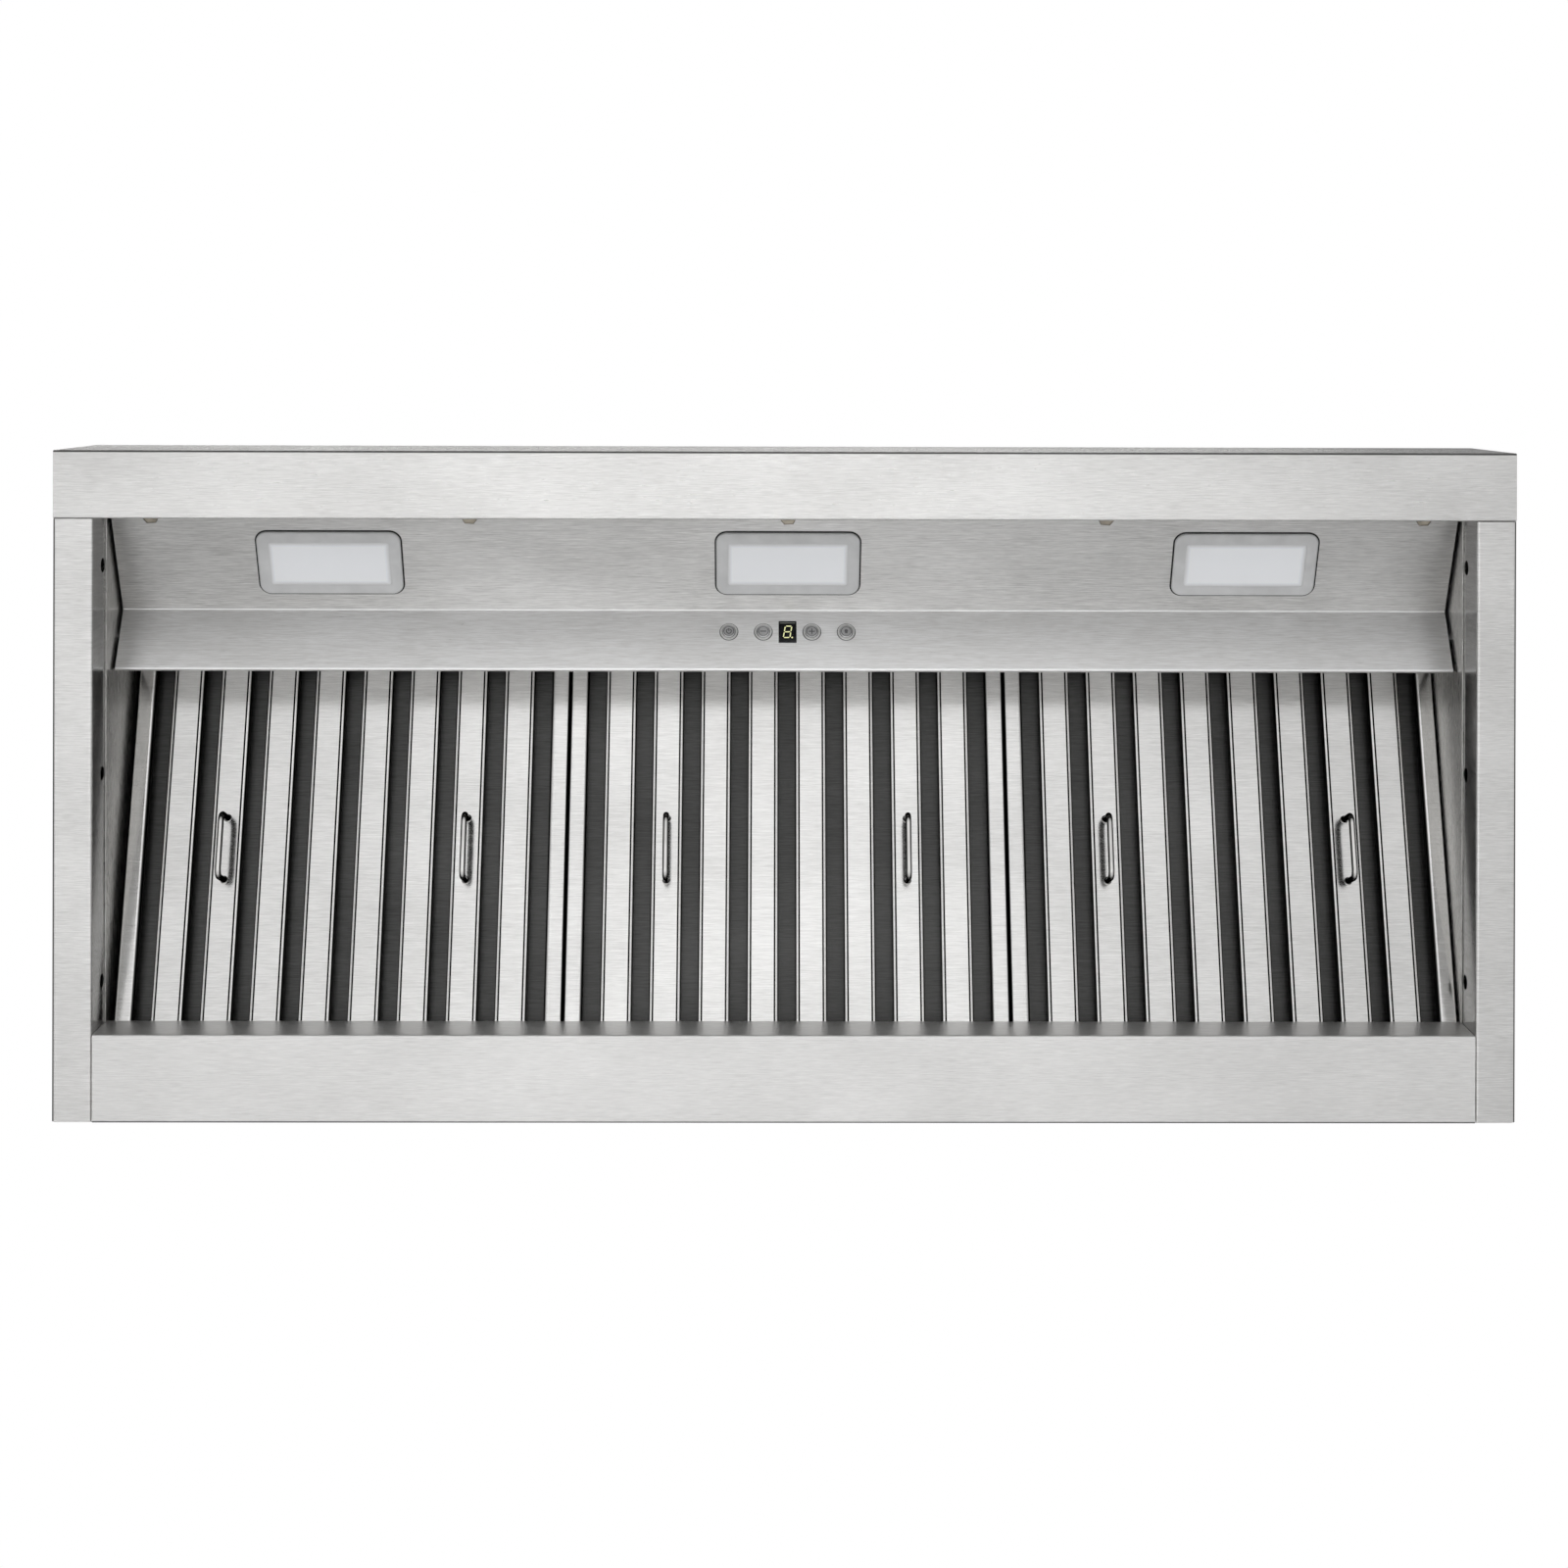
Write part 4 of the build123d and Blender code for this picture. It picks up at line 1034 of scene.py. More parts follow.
@dataclass
class Studio:
    """Camera, floor, lamps and surroundings, in metres.

    Attributes:
        camera_turn: Turns of the camera about the image's axes, in degrees.
        lens_pixels: Focal length in pixels of the photograph's frame.
        frame_pixels: Size of the square frame.
        centre_row: Row of the frame that the optical axis meets.
        sensor: Width of the camera's sensor, in millimetres.
        clip: Nearest and farthest distance that the camera sees.
        floor_tones: Two greys of the floor.
        floor_mottle: Scale of the floor's mottling, per metre.
        floor_rough: Least and greatest roughness of the floor.
        floor_glow: Share of white in what the camera sees of the floor.
        soft_light: Strength of the light from all around.
        boxes: Soft boxes that metal shows: name, place, aim, two sides and power in watts.
        washes: Lamps that light the floor: name, place, power in watts and side.
    """

    camera_place: Triple = (-0.016987, -0.340972, -2.148603)
    camera_turn: Triple = (0.0821, -0.3971, 0.1491)
    lens_pixels: float = 2718.545
    frame_pixels: float = 1600.0
    centre_row: float = 376.463
    sensor: float = 36.0
    clip: Point2 = (0.05, 60.0)
    floor_height: float = -2.35
    floor_half: float = 20.0
    floor_tones: Point2 = (0.84, 0.80)
    floor_mottle: float = 2.0
    floor_rough: Point2 = (0.8, 0.95)
    floor_glow: float = 0.72
    soft_light: float = 0.34
    boxes: tuple[tuple[str, Triple, Triple, Point2, float], ...] = (
        ("key", (-0.5, -3.4, 4.2), (0.0, -1.0, 0.0), (4.0, 3.0), 168.0),
        ("fill", (0.0, 4.2, 4.4), (0.0, 0.0, 0.0), (2.0, 2.0), 40.0),
    )
    washes: tuple[tuple[str, Triple, float, float], ...] = (
        ("left", (-0.45, -0.1, -1.15), 3.2, 0.6),
        ("middle", (0.12, 0.1, -1.15), 5.2, 0.6),
        ("rear", (-0.1, 1.1, -1.15), 3.4, 0.8),
        ("left_rear", (-1.35, 0.55, -1.15), 3.0, 0.6),
        ("right_rear", (1.2, 1.15, -1.15), 0.7, 0.6),
        ("slope", (-0.15, 3.4, -1.55), 7.5, 0.8),
        ("filters", (0.0, -1.45, -1.3), 6.0, 1.0),
        ("controls", (0.0, -4.6, -0.6), 21.0, 1.6),
    )

    def place_camera(self) -> None:
        """Put the camera under the hood, looking straight up, with the front of the hood at the top."""
        rx, ry, rz = (math.radians(value) for value in self.camera_turn)
        turn = Matrix.Rotation(rz, 3, "Z") @ Matrix.Rotation(ry, 3, "Y") @ Matrix.Rotation(rx, 3, "X")
        axes = Matrix((turn[0], -turn[1], -turn[2])).transposed()
        data = bpy.data.cameras.new("camera")
        data.sensor_width = self.sensor
        data.lens = self.lens_pixels * self.sensor / self.frame_pixels
        data.shift_y = (self.centre_row - self.frame_pixels / 2) / self.frame_pixels
        data.clip_start, data.clip_end = self.clip
        matrix = Matrix.Translation(self.camera_place) @ axes.to_4x4()
        bpy.context.scene.camera = placed("camera", data, matrix)

    def lay_floor(self) -> None:
        """Lay a plain pale floor below the camera, which keeps the hood's shadow."""
        net = ShaderNet("pale_floor")
        mottle = net.noise(self.floor_mottle)
        color = net.blend(mottle, *((tone,) * 3 for tone in self.floor_tones))
        net.surface(Base_Color=color, Roughness=net.spread(mottle, *self.floor_rough))
        seen = net.node("ShaderNodeLightPath").outputs["Is Camera Ray"]
        mix = net.node("ShaderNodeMixShader", {"Fac": net.math("MULTIPLY", seen, self.floor_glow)})
        net.feed(mix.inputs[1], net.shader.outputs["BSDF"])
        net.feed(mix.inputs[2], net.node("ShaderNodeEmission").outputs["Emission"])
        net.feed(net.output.inputs["Surface"], mix.outputs["Shader"])
        half, z = self.floor_half, self.floor_height
        corners = [(-half, -half, z), (half, -half, z), (half, half, z), (-half, half, z)]
        mesh_piece("floor", corners, [(0, 1, 2, 3)], net.material)

    @staticmethod
    def hang_lamp(
        name: str, place: Triple, aim: Triple, size: Point2, power: float, shown: bool = True
    ) -> None:
        """Hang a soft box.

        Args:
            name: Name of the lamp.
            place: Its place.
            aim: Point that it faces.
            size: Its two sides.
            power: Its power in watts.
            shown: Whether metal shows the box itself.
        """
        data = bpy.data.lights.new(name, "AREA")
        data.shape = "RECTANGLE"
        data.size, data.size_y = size
        data.energy = power
        turn = (Vector(aim) - Vector(place)).to_track_quat("-Z", "Y").to_matrix().to_4x4()
        lamp = placed(name, data, Matrix.Translation(place) @ turn)
        lamp.visible_camera = False
        lamp.visible_glossy = shown

    def light(self) -> None:
        """Light the floor in front of the hood, which the steel mirrors, and the hood's top."""
        for box in self.boxes:
            self.hang_lamp(*box)
        for name, place, power, size in self.washes:
            aim = (place[0], place[1], self.floor_height)
            self.hang_lamp(f"floor_wash_{name}", place, aim, (size, size), power, False)

    def surround(self) -> None:
        """Give a white background that metal and glass also show, over a grey soft light."""
        world = bpy.data.worlds.new("surroundings")
        bpy.context.scene.world = world
        world.use_nodes = True
        net = Net(world.node_tree)
        net.nodes.clear()
        path = net.node("ShaderNodeLightPath")
        seen = path.outputs["Is Camera Ray"]
        for key in ("Is Glossy Ray", "Is Transmission Ray"):
            seen = net.math("MAXIMUM", seen, path.outputs[key])
        strength = net.node("ShaderNodeMapRange", {"Value": seen, "To Min": self.soft_light, "To Max": 1.0})
        feeds = {"Strength": strength.outputs["Result"], "Color": WHITE}
        background = net.node("ShaderNodeBackground", feeds)
        net.node("ShaderNodeOutputWorld", {"Surface": background.outputs["Background"]})

    def build(self) -> None:
        """Set up the whole studio."""
        bpy.context.scene.view_settings.view_transform = "Standard"
        self.place_camera()
        self.lay_floor()
        self.light()
        self.surround()
        LOG.info("studio is ready")


# ---------------------------------------------------------------- case and electrics


@dataclass
class Case:
    """Sheets of the outer case, and the screws that join them."""

    palette: Palette

    def build(self) -> None:
        """Dress the case."""
        look = self.palette
        dress(look.rim, "front_fascia")
        dress(look.rear_rim, "rear_rim")
        dress(look.sheet, "front_rail", "filter_rail", "grease_gutter")
        dress(look.panel, "light_control_panel")
        dress(look.side_rim, "left_side_rim", "right_side_rim")
        dress(look.wall, "left_side_panel", "right_side_panel")
        dress(look.zinc, "top_deck", "box_front", "box_rear", "box_lid")
        dress(look.screw, "case_screws")


@dataclass
class Electrics:
    """Electrical box with what it holds."""

    palette: Palette

    def build(self) -> None:
        """Dress the box and its contents."""
        look = self.palette
        dress(look.zinc, "junction_box", "junction_cover")
        dress(look.rubber, "cable_bush")
        dress(look.can, "capacitor")
        dress(look.housing, "led_driver")


# ---------------------------------------------------------------- screws of the lamp sheet


@dataclass
class PanelScrews:
    """Hex-headed screws along the front of the lamp sheet, each with its nut behind the rail.

    Attributes:
        along: Distance of the row from the valley.
        corner: Distance of a head's corners from its middle.
        head: Height of a head.
        shank: Radius of the shank at its two ends, each with its height.
        foot: Growths of the head's hexagon at its foot, each with its height.
        crown: Growths at its crown, each with its height over the head's.
        dish: Radii of the dish in the crown, in the same way.
        nut: Distance of a nut's corners from its middle at both faces, each with its height.
        sway: Largest turn of a screw, in radians.
        points: Number of points in an outline.
    """

    palette: Palette
    count: int = 5
    pitch: float = 262.0
    along: float = 92.5
    corner: float = 7.5
    head: float = 3.2
    shank: Profile = ((2.5, -9.0), (2.5, -0.02))
    foot: Profile = ((-0.3, 0.0), (0.0, 0.3))
    crown: Profile = ((0.0, -0.6), (-0.35, -0.15), (-1.2, 0.0))
    dish: Profile = ((3.6, 0.0), (3.0, -0.35))
    nut: Profile = ((4.6, -5.5), (4.6, -2.0))
    sway: float = 0.12
    points: int = 48

    def hexagon(self, corner: float) -> Outline:
        """Give a hexagon's outline, with flats towards the valley and the front.

        Args:
            corner: Distance of a corner from the middle.

        Returns:
            The outline, anticlockwise.
        """
        points = []
        half = math.radians(30.0)
        for step in range(self.points):
            turn = math.radians(360.0 / self.points * step)
            reach = corner * math.cos(half) / math.cos(turn % (2 * half) - half)
            points.append((reach * math.cos(turn), reach * math.sin(turn)))
        return points

    def one(self) -> Piece:
        """Make one screw with its head on the local zero.

        Returns:
            The screw and its nut, as one piece.
        """
        look, place = self.palette.screw, Matrix.Identity(4)
        loops = stacked(circle, self.shank) + stacked(self.hexagon, self.foot, self.corner)
        loops += stacked(self.hexagon, self.crown, self.corner, self.head)
        loops += stacked(circle, self.dish, height=self.head)
        screw = loft("panel_screw_head", loops, look, place)
        return joined("panel_screw", [screw, loft("nut", stacked(self.hexagon, self.nut), look, place)])

    def build(self) -> None:
        """Set the screws in their row."""
        screw = self.one()
        net = GrowthNet("screw_row")
        row = net.row(net.item("Screw", screw), self.count, self.pitch)
        feeds = {"Min": -self.sway, "Max": self.sway, "Seed": net.input("Seed", 4)}
        turn = net.node("FunctionNodeRandomValue", feeds, data_type="FLOAT").outputs["Value"]
        feeds = {"Instances": row, "Rotation": net.vector(0.0, 0.0, turn), "Local Space": True}
        spun = net.node("GeometryNodeRotateInstances", feeds).outputs["Instances"]
        piece = net.grow("panel_screw_row", spun, self.palette.screw, LAMP_SLOPE.matrix(y=self.along))
        bpy.data.objects.remove(screw)
        attach(piece, "hood", "screw_steel", "panel_screws")


# ---------------------------------------------------------------- lamps


@dataclass
class Lamp:
    """One lamp: frosted bezel, diffuser and the tray behind.

    Attributes:
        side: Which of the three lamps.
        along: Distance of its middle from the valley.
        corner: Corner radius of the bezel.
        shoulder: Insets of the bezel's outer wall, each with its height.
        well: Margins of the bezel's inner wall round the window, each with its height.
        glass: Margins of the diffuser's wall round the window, each with its height.
        seal: Insets of the seal's wall, each with its height.
    """

    palette: Palette
    side: str
    pitch: float = 380.0
    along: float = 46.7
    width: float = 121.6
    height: float = 62.5
    corner: float = 10.5
    window_width: float = 100.0
    window_height: float = 41.0
    window_corner: float = 3.0
    shoulder: Profile = ((1.6, 0.0), (1.3, 0.4), (1.3, 1.1), (1.5, 1.6), (2.1, 2.2), (3.2, 2.6))
    well: Profile = (
        (0.4, 2.6), (0.1, 2.56), (0.0, 2.45), (0.0, 1.2), (4.2, 1.2), (4.2, -8.0), (6.8, -8.0), (6.8, 0.0),
    )
    glass: Profile = (
        (4.0, -1.8), (4.0, 1.15), (-0.05, 1.18), (-0.05, 2.4), (-0.25, 2.5), (-2.0, 2.52), (-14.0, 2.58),
    )
    seal: Profile = ((2.0, 0.02), (2.0, 0.35), (0.2, 0.35), (0.0, 0.2), (0.0, 0.02))

    def outline(self, inset: float) -> Outline:
        """Give the bezel's outline, drawn in by an inset."""
        return round_rectangle(self.width - 2 * inset, self.height - 2 * inset, max(self.corner - inset, 1.0))

    def window(self, growth: float) -> Outline:
        """Give the window's outline, grown by a margin."""
        width, height = self.window_width + 2 * growth, self.window_height + 2 * growth
        return round_rectangle(width, height, self.window_corner + max(growth, 0.0))

    def build(self) -> None:
        """Make the bezel, the diffuser and the seal, and dress the tray."""
        look, side = self.palette, self.side
        place = LAMP_SLOPE.matrix((SIDES.index(side) - 1) * self.pitch, self.along)
        rim = stacked(self.outline, self.shoulder) + stacked(self.window, self.well)
        bezel = loft(f"{side}_bezel", rim, look.bezel, place, ring=True)
        attach(bezel, "hood", "lamp_frame", f"{side}_lamp_bezel")
        frosted = LampDiffuser(f"{side}_diffuser", place.translation).make()
        lens = loft(f"{side}_lens", stacked(self.window, self.glass), frosted, place)
        attach(lens, "hood", "lamp_diffuser", f"{side}_lamp_lens")
        dress(look.housing, f"{side}_lamp_housing")
        # The black rubber seal round the bezel also paints the shadow gap between the bezel and the sheet as
        # a dark line.
        seal = loft(f"{side}_seal", stacked(self.outline, self.seal), look.rubber, place, ring=True)
        attach(seal, "hood", "bush_rubber")


# ---------------------------------------------------------------- controls


@dataclass
class Controls:
    """Push buttons, their rings, the display and the board behind.

    Attributes:
        below_valley: Distance of the row from the valley.
        window_face: Height of the display's window over the slope.
        lean: Sideways lean of the digit per length of its height.
        bar: Width of a lit bar.
        gap: Space at a lit bar's ends.
        point: Radius of the digit's point.
        point_step: Distance of the point from the digit's right bars.
        bar_span: Heights of a lit bar's two faces over the window.
        strip: Length, width and corner radius of the display's bevel.
        strip_up: Distance of the bevel from the window's middle, towards the valley.
        strip_span: Heights of the bevel's two faces over the window.
        stem: Radii of a button's stem, each with its height.
        cap_wall: Growths of its flange, wall and ring groove over the cap's radius, each with its height.
        dish: Radius of the face's low middle, with its height.
        ring_line: Growths of the paint in the ring groove, each with its height.
        gasket: Growths of a gasket over the ring's radius, each with its height.
        symbol: Size of a button's symbol.
        line: Width of a symbol's lines.
        bulb: Radius of the lamp symbol's bulb and its rise, as shares of half the symbol.
        base: Length of its base, as a share of the symbol, and its drop, as a share of half of it.
        arc: Start and step of the power symbol's arc, in degrees.
        arc_points: Number of points along that arc.
        stroke_foot: Height of the power symbol's stroke over the middle, as a share of half the symbol.
        paint_span: Heights of a symbol's two faces.
        buttons: Place of each button along the row, from the display's middle.
    """

    palette: Palette
    below_valley: float = 20.0
    window_face: float = 0.3
    lean: float = 0.16
    digit_width: float = 6.4
    digit_height: float = 11.4
    bar: float = 0.95
    gap: float = 0.36
    point: float = 0.75
    point_step: float = 1.9
    bar_span: Point2 = (0.0, 0.1)
    strip: Triple = (12.8, 0.8, 0.2)
    strip_up: float = 8.2
    strip_span: Point2 = (-0.1, 0.02)
    cap_radius: float = 5.4
    ring_radius: float = 7.4
    stem: Profile = ((2.0, -9.0), (2.0, -4.4))
    cap_wall: Profile = (
        (0.85, -4.38), (0.85, -3.42), (0.0, -3.4), (0.0, 1.1), (-0.15, 1.42), (-0.5, 1.6), (-1.0, 1.6),
        (-1.12, 1.35), (-1.42, 1.35), (-1.54, 1.6),
    )
    dish: Profile = ((2.0, 1.56),)
    ring_line: Profile = ((-1.0, 1.4), (-1.54, 1.4), (-1.54, 1.3), (-1.0, 1.3))
    gasket: Profile = ((-0.6, 0.02), (-0.6, 0.3), (0.35, 0.3), (0.45, 0.02))
    symbol: float = 5.0
    line: float = 0.8
    bulb: Point2 = (0.6, 0.2)
    base: Point2 = (0.45, 0.55)
    arc: Point2 = (120.0, 30.0)
    arc_points: int = 11
    stroke_foot: float = 0.05
    paint_span: Point2 = (1.5, 1.6)
    buttons: dict[str, float] = field(
        default_factory=lambda: {"power": -49.0, "minus": -20.3, "plus": 20.3, "light": 49.0}
    )

    def bars(self) -> list[Outline]:
        """Give the outlines of the digit's seven bars and its point, before they lean.

        Returns:
            One outline for each bar, and the point's.
        """
        half_w, half_h = (self.digit_width - self.bar) / 2, (self.digit_height - self.bar) / 2
        thick, gap = self.bar / 2, self.gap
        outlines = []
        for y in (-half_h, 0.0, half_h):
            reach = half_w - gap
            low = [(-reach, y), (thick - reach, y - thick), (reach - thick, y - thick)]
            outlines.append(low + [(reach, y), (reach - thick, y + thick), (thick - reach, y + thick)])
        for x in (-half_w, half_w):
            for foot in (-half_h, 0.0):
                start, end = foot + gap, foot + half_h - gap
                right = [(x, start), (x + thick, start + thick), (x + thick, end - thick)]
                outlines.append(right + [(x, end), (x - thick, end - thick), (x - thick, start + thick)])
        outlines.append([(x + half_w + self.point_step, y - half_h) for x, y in circle(self.point, 12)])
        return outlines

    def strokes(self, name: str) -> list[Outline]:
        """Give the outlines of a button's symbol.

        Args:
            name: Name of the button.

        Returns:
            One outline for each painted stroke.
        """
        half, line = self.symbol / 2, self.line
        flat = [(-half, -line / 2), (half, -line / 2), (half, line / 2), (-half, line / 2)]
        if name == "minus":
            return [flat]
        if name == "plus":
            return [flat, [(line / 2, -half), (line / 2, half), (-line / 2, half), (-line / 2, -half)]]
        if name == "light":
            (radius, rise), (share, drop) = self.bulb, self.base
            bulb = [(x, y + half * rise) for x, y in circle(half * radius, 24)]
            return [bulb, [(x * share, y - half * drop) for x, y in flat]]
        start, turn = self.arc
        turns = [math.radians(start + turn * step) for step in range(self.arc_points)]
        outer, inner = (
            [(radius * math.cos(turn), radius * math.sin(turn)) for turn in turns]
            for radius in (half, half - line)
        )
        foot, side = half * self.stroke_foot, line / 2
        return [outer + inner[::-1], [(-side, foot), (side, foot), (side, half), (-side, half)]]

    def button(self, name: str, x: float) -> None:
        """Make one cap with its ringed face, flange and stem, and the paint of its symbol.

        Args:
            name: Name of the button.
            x: Its place along the row.
        """
        place = CONTROL_SLOPE.matrix(x, -self.below_valley)
        cap, mark = self.cap_radius, self.palette.mark
        wall = stacked(circle, self.stem) + stacked(circle, self.cap_wall, cap) + stacked(circle, self.dish)
        body = loft(f"{name}_cap", wall, self.palette.cap, place)
        attach(body, f"{name}_button", "button_cap", f"{name}_button")
        strokes = [[(edge, height) for height in self.paint_span] for edge in self.strokes(name)]
        paint = [loft("stroke", stroke, mark, place) for stroke in strokes]
        paint.append(loft("ring_paint", stacked(circle, self.ring_line, cap), mark, place, ring=True))
        attach(joined(f"{name}_symbol", paint), f"{name}_button", "black_plastic")

    def gaskets(self) -> None:
        """Lay a thin rubber gasket under each button's ring, whose black also paints the shade of the gap
        round the ring.
        """
        loops = stacked(circle, self.gasket, self.ring_radius)
        places = [CONTROL_SLOPE.matrix(x, -self.below_valley) for x in self.buttons.values()]
        parts = [loft("gasket", loops, self.palette.rubber, place, ring=True) for place in places]
        attach(joined("button_gaskets", parts), "hood", "bush_rubber")

    def build(self) -> None:
        """Make the digit and the buttons, and dress the rest."""
        look = self.palette
        place = CONTROL_SLOPE.matrix(y=-self.below_valley, z=self.window_face)
        parts = []
        for outline in self.bars():
            leaning = [(x + self.lean * y, y) for x, y in outline]
            parts.append(loft("bar", [(leaning, height) for height in self.bar_span], look.digit, place))
        digit = joined("digit_eight", parts)
        strip = round_rectangle(*self.strip, steps=2)
        over = CONTROL_SLOPE.matrix(y=self.strip_up - self.below_valley, z=self.window_face)
        bevel = loft("display_bevel", [(strip, height) for height in self.strip_span], look.smoke, over)
        attach(bevel, "hood", "black_plastic")
        attach(digit, "hood", "digit", "display_digit")
        dress(look.black, "display_window")
        dress(look.board, "control_board")
        dress(look.stud, "board_standoffs")
        dress(look.housing, "button_switches")
        dress(look.ring, "button_rings")
        for name, x in self.buttons.items():
            self.button(name, x)
        self.gaskets()


# ---------------------------------------------------------------- baffle filters


@dataclass
class BaffleFilter:
    """One removable filter: frame, front and rear slats, and two wire handles.

    Attributes:
        side: Which of the three filters.
        start: Distance of the slats' low ends from the filter's.
        half_slat: Half of a slat's width, to its outer faces.
        bend: Inner bend radius.
        groove: Depth of the pressed line beside each bend of a front slat.
        groove_inset: Distance of that line's middle from the slat's side.
        press: Half of that line's outer section, as places across it and shares of its depth.
        hump: The line's inner section, in the same way.
        fold: Depth of a slat's two sides.
        handle_from_low_end: Distance of the handles' middle from the filter's low end.
        handle_slots: Number of slot pitches between the two handles.
        handle_half: Half of a handle's length, to its wire's middle.
        handle_steps: Segments in each of a handle's bends.
        wire: Radius of the wire.
        weld: Growths of a weld collar over the wire, each with its height.
    """

    palette: Palette
    side: str
    pitch: float = 370.0
    length: float = 316.4
    start: float = 0.8
    slot_pitch: float = 40.4
    half_slat: float = 13.2
    sheet: float = 0.8
    bend: float = 1.0
    bend_steps: int = 6
    groove: float = 1.4
    groove_inset: float = 3.2
    press: Profile = (
        (0.72, 0.0), (0.56, 0.3), (0.28, 0.9), (0.0, 1.0), (-0.28, 0.9), (-0.56, 0.3), (-0.72, 0.0)
    )
    hump: Profile = ((1.25, 0.0), (0.95, 1.0), (-0.95, 1.0), (-1.25, 0.0))
    fold: float = 9.0
    depth: float = 22.0
    slots: int = 9
    handle_from_low_end: float = 155.2
    handle_slots: int = 5
    handle_half: float = 25.75
    handle_rise: float = 28.0
    handle_bend: float = 7.0
    handle_steps: int = 10
    wire: float = 2.5
    wire_points: int = 24
    weld: Profile = ((-0.1, -0.85), (0.9, -0.8), (0.6, -0.55), (0.2, -0.2), (-0.1, 0.2))

    def place(self, y: float) -> Matrix:
        """Give the matrix of the filter's low end, moved up its slope."""
        return FILTER_SLOPE.matrix((SIDES.index(self.side) - 1) * self.pitch, y)

    def section(self, face: float, edge: float, groove: float) -> Outline:
        """Give the closed outline of a slat's bent sheet.

        Args:
            face: Height of the slat's outer face.
            edge: Height of its free edges.
            groove: Depth of the pressed line beside each bend, or zero for none.

        Returns:
            The outline's points, in x and height.
        """
        up = math.copysign(1.0, face - edge)
        outer, inner = [], []
        turns = [math.radians(90.0 / self.bend_steps * step) for step in range(self.bend_steps + 1)]
        for line, radius, inset in ((outer, self.bend + self.sheet, 0.0), (inner, self.bend, self.sheet)):
            side, top = self.half_slat - inset - radius, face - up * (inset + radius)
            line.append((side + radius, edge))
            line += [(side + radius * math.cos(turn), top + up * radius * math.sin(turn)) for turn in turns]
        if groove:
            middle = self.half_slat - self.groove_inset
            outer += [(middle + x, face - up * share * groove) for x, share in self.press]
            inner += [(middle + x, face - up * (self.sheet + share * groove)) for x, share in self.hump]
        halves = [line + [(-x, z) for x, z in reversed(line)] for line in (outer, inner)]
        return halves[0] + halves[1][::-1]

    def slats(self, row: str, count: int, outline: Outline, finish: Finish) -> Piece:
        """Grow one row of channel-shaped slats.

        Args:
            row: Name of the row.
            count: Number of slats.
            outline: Outline of one slat's sheet.
            finish: Finish of the row.

        Returns:
            The piece, in its place.
        """
        upright = Matrix.Rotation(math.pi / 2, 4, "X")
        slat = loft(f"{row}_slat", [(outline, 0.0), (outline, -self.length)], finish, upright)
        net = GrowthNet(f"{row}_slats")
        copies = net.row(net.item("Slat", slat), count, self.slot_pitch)
        piece = net.grow(f"{self.side}_{row}_slats", copies, finish, self.place(self.start))
        bpy.data.objects.remove(slat)
        return piece

    def handles(self) -> Piece:
        """Grow the two bent wire handles, with their small weld collars.

        Returns:
            The piece, in its place.
        """
        look, name, place = self.palette, f"{self.side}_wire_handles", self.place(self.handle_from_low_end)
        net = GrowthNet("wire_handles")
        reach, foot, rise, wire, bend = metres(
            self.handle_half, -self.sheet, self.handle_rise, self.wire, self.handle_bend
        )
        radius = net.input("Wire Radius", wire)
        corners = [
            net.vector(0.0, net.input("Near Foot", -reach), net.input("Foot Height", foot)),
            net.vector(0.0, -reach, net.input("Rise", rise)),
            net.vector(0.0, reach, rise),
            net.vector(0.0, net.input("Far Foot", reach), foot),
        ]
        path = net.bent_path(corners, net.input("Bend Radius", bend), self.handle_steps)
        feeds = {"Resolution": self.wire_points, "Radius": radius}
        ring = net.node("GeometryNodeCurvePrimitiveCircle", feeds)
        feeds = {"Curve": path, "Profile Curve": ring.outputs["Curve"], "Fill Caps": True}
        rod = net.node("GeometryNodeCurveToMesh", feeds).outputs["Mesh"]
        apart = self.handle_slots * self.slot_pitch
        row = net.row(rod, 2, apart)
        parts = [net.grow(name, row, look.wire, place)]
        collar = stacked(circle, self.weld, self.wire, steps=self.wire_points)
        for x in (-apart / 2, apart / 2):
            for y in (-self.handle_half, self.handle_half):
                foot_place = place @ Matrix.Translation(metres(x, y, 0.0))
                parts.append(loft("weld", collar, look.wire, foot_place))
        return joined(name, parts)

    def build(self) -> None:
        """Make the slats and the handles, and dress the frame."""
        body, look = f"{self.side}_filter", self.palette
        shown = self.section(-self.sheet, -self.sheet - self.fold, self.groove)
        front = self.slats("front", self.slots - 1, shown, look.sheet)
        attach(front, body, "stainless", f"{body}_front_slats")
        hidden = self.section(self.sheet - self.depth, self.sheet - self.depth + self.fold, 0.0)
        # The rear slats take the near-black finish of painted shade.
        rear = self.slats("rear", self.slots, hidden, look.slot)
        attach(rear, body, "stainless", f"{body}_rear_slats")
        attach(self.handles(), body, "stainless", f"{body}_handles")
        dress(look.sheet, f"{body}_frame")


# ---------------------------------------------------------------- blower


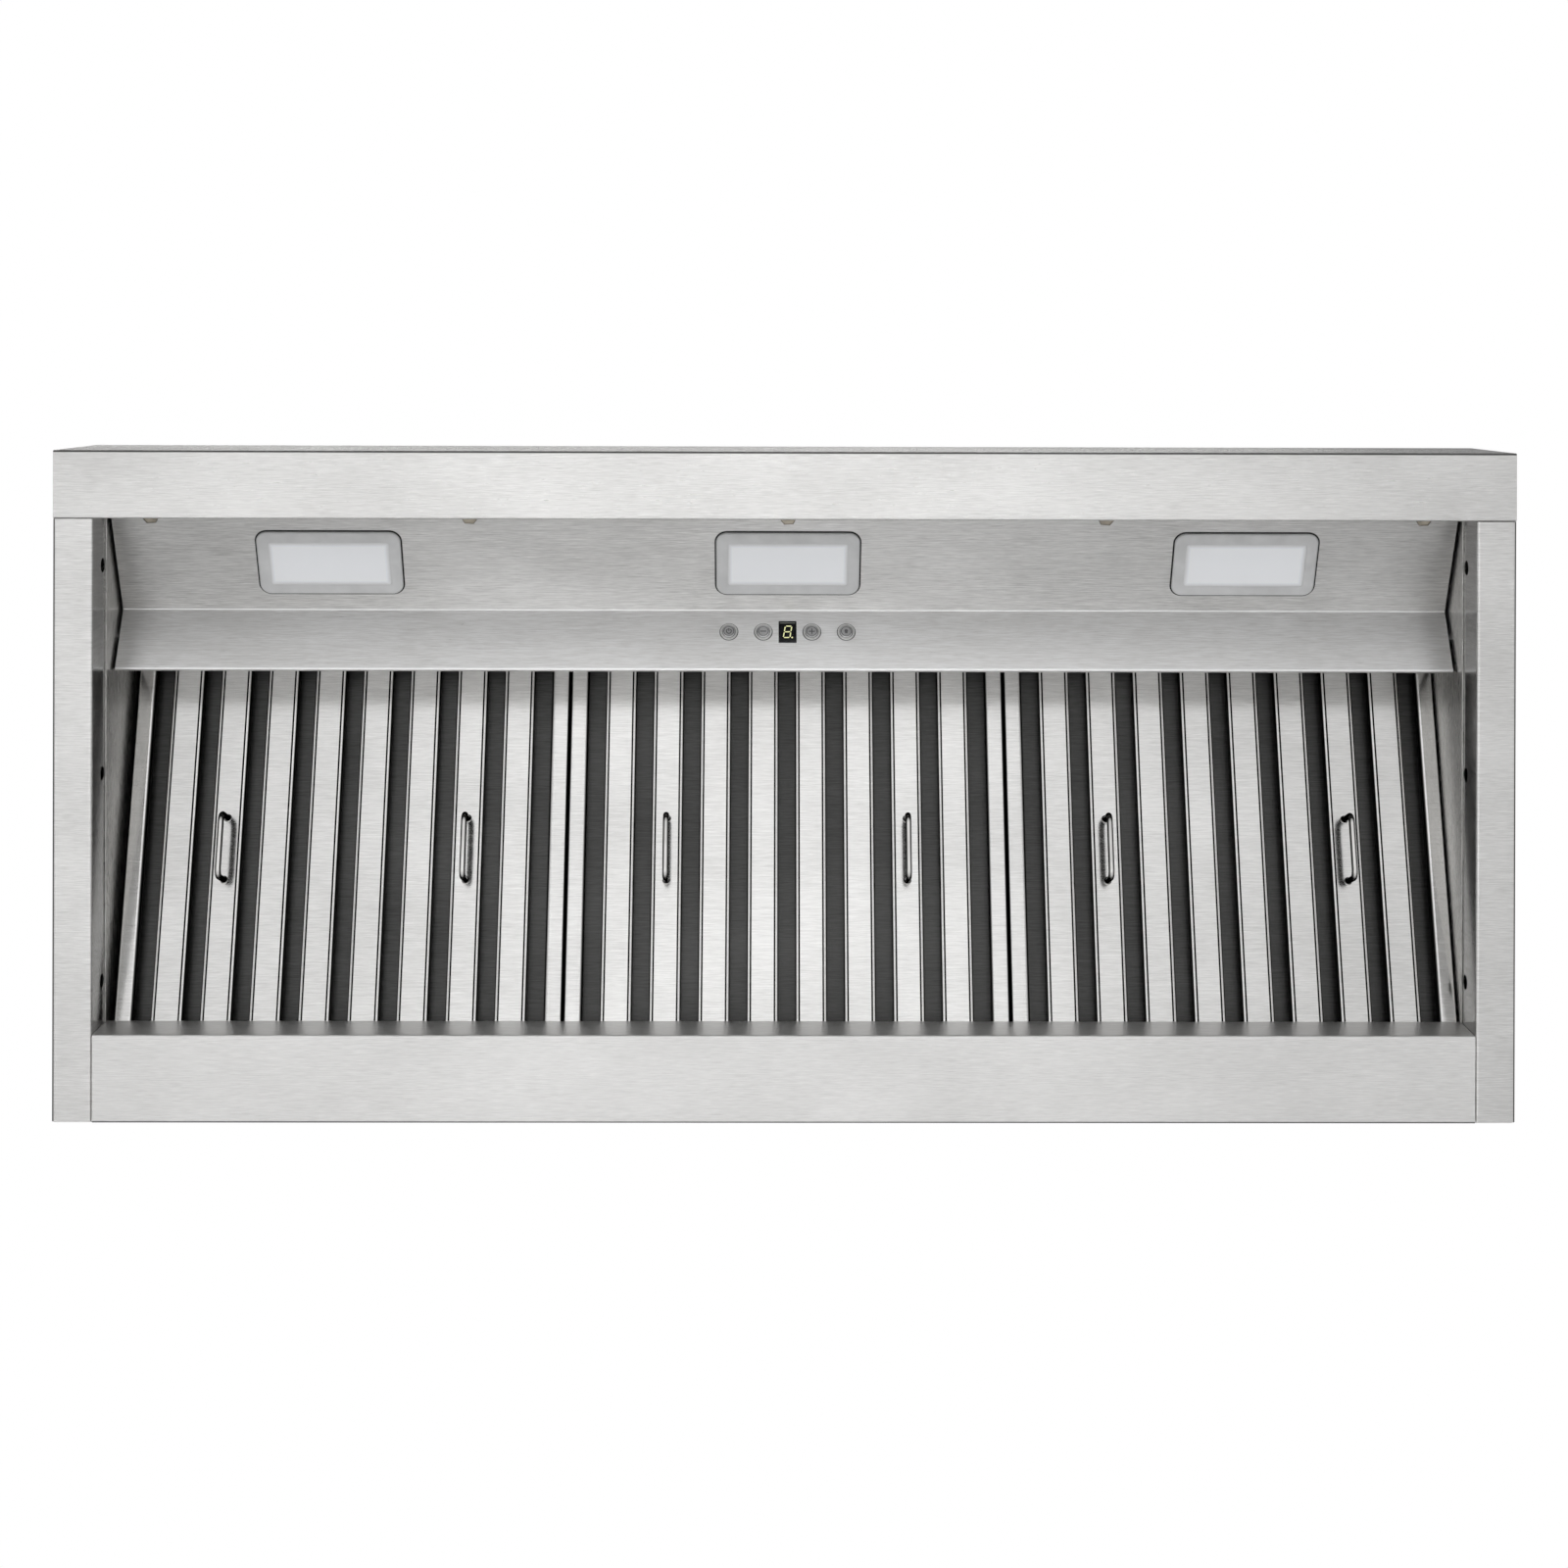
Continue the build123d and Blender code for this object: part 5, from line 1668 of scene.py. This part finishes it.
@dataclass
class Blower:
    """Scroll casing, two-sided wheel, motor and shaft.

    Attributes:
        middle: Place of the axis along the depth, and its height.
        radius: Outer radius of the wheel.
        half: Half of the wheel's width.
        ring_inner: Inner radius of an end ring.
        ring_half: Half of an end ring's width.
        sheet: Thickness of the blades.
        blades: Number of blades on each side.
        blade_play: Length that the blades leave free, both ends together.
        blade_radius: Radius of a blade's curve.
        blade_points: Number of points along that curve.
        blade_turns: Start and sweep of that curve, in degrees.
        blade_shift: Step of a blade from its point on the blade circle.
        blade_circle: Radius of the circle that the blades are set on.
        disc: Half of the middle disc's section, from the shaft's bore out, as radii and heights.
        points: Number of points round the disc and the end rings.
    """

    palette: Palette
    middle: Point2 = (10.0, 242.0)
    radius: float = 85.0
    half: float = 84.0
    ring_inner: float = 71.0
    ring_half: float = 1.5
    sheet: float = 0.8
    blades: int = 36
    blade_play: float = 2.0
    blade_radius: float = 11.0
    blade_points: int = 9
    blade_turns: Point2 = (-35.0, 78.0)
    blade_shift: Point2 = (-10.5, -3.0)
    blade_circle: float = 78.2
    disc: Profile = ((4.05, -10.0), (14.0, -10.0), (15.0, -9.0), (15.0, -2.5), (17.0, -1.0), (84.5, -1.0))
    points: int = 96

    def axis_place(self) -> Matrix:
        """Give the matrix whose local Z lies along the axis."""
        return Matrix.Translation(metres(0.0, *self.middle)) @ Matrix.Rotation(math.pi / 2, 4, "Y")

    def blade_ring(self) -> Piece:
        """Grow the forward-curved blades of both sides.

        Returns:
            The blades, in their place.
        """
        net = GrowthNet("blade_ring")
        start, sweep = (math.radians(angle) for angle in self.blade_turns)
        width = 2 * self.half - self.blade_play
        curve, width, across = metres(self.blade_radius, width, self.blade_circle)
        feeds = {"Radius": net.input("Blade Radius", curve), "Start Angle": start, "Sweep Angle": sweep}
        feeds["Resolution"] = self.blade_points
        arc = net.node("GeometryNodeCurveArc", feeds).outputs["Curve"]
        line = net.node("GeometryNodeCurveToMesh", {"Curve": arc}).outputs["Mesh"]
        length = net.input("Blade Length", width)
        feeds = {"Mesh": line, "Offset": net.vector(0.0, 0.0, length), "Offset Scale": 1.0}
        drawn = net.node("GeometryNodeExtrudeMesh", feeds, mode="EDGES").outputs["Mesh"]
        shift = net.vector(*metres(*self.blade_shift), net.math("MULTIPLY", length, -0.5))
        feeds = {"Geometry": drawn, "Translation": shift}
        blade = net.node("GeometryNodeTransform", feeds).outputs["Geometry"]
        count, radius = net.input("Blade Count", self.blades), net.input("Ring Radius", across)
        feeds = {"Vertices": count, "Radius": radius}
        points = net.node("GeometryNodeMeshCircle", feeds).outputs["Mesh"]
        spot = net.node("GeometryNodeInputPosition").outputs["Position"]
        aim = net.node("FunctionNodeAlignRotationToVector", {"Vector": spot}, axis="X", pivot_axis="Z")
        feeds = {"Points": points, "Instance": blade, "Rotation": aim.outputs["Rotation"]}
        copies = net.node("GeometryNodeInstanceOnPoints", feeds).outputs["Instances"]
        return net.grow("wheel_blades", copies, self.palette.zinc, self.axis_place(), self.sheet)

    def turned(self, name: str, profile: Profile) -> Piece:
        """Make a ring round the axis through radii and heights along it."""
        loops = stacked(circle, profile, steps=self.points)
        return loft(name, loops, self.palette.zinc, self.axis_place(), ring=True)

    def end_ring(self, z: float) -> Piece:
        """Make one rolled end ring, centred at a distance along the axis."""
        inner, outer, low, high = self.ring_inner, self.radius, z - self.ring_half, z + self.ring_half
        return self.turned("end_ring", ((inner, low), (inner, high), (outer, high), (outer, low)))

    def build(self) -> None:
        """Make the wheel and dress the rest."""
        other = tuple((radius, -height) for radius, height in reversed(self.disc))
        parts = [self.blade_ring(), self.turned("middle_disc", self.disc + other)]
        parts += [self.end_ring(sign * (self.half - self.ring_half)) for sign in (-1, 1)]
        attach(joined("blower_wheel_blades", parts), "blower_wheel", "galvanised", "impeller")
        look = self.palette
        dress(look.shaft, "blower_shaft")
        dress(look.casting, "blower_motor")
        dress(look.zinc, "blower_housing", "motor_bracket", "duct_collar")
        dress(look.zinc, "front_damper_flap", "rear_damper_flap")


# ---------------------------------------------------------------- main


def main() -> None:
    """Build the studio, then each sub-assembly in order."""
    logging.basicConfig(level=logging.INFO, format="%(name)s: %(message)s")
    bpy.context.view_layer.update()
    Studio().build()
    palette = Palette()
    Case(palette).build()
    PanelScrews(palette).build()
    for side in SIDES:
        Lamp(palette, side).build()
    Controls(palette).build()
    for side in SIDES:
        BaffleFilter(palette, side).build()
    Blower(palette).build()
    Electrics(palette).build()


if __name__ == "__main__":
    main()
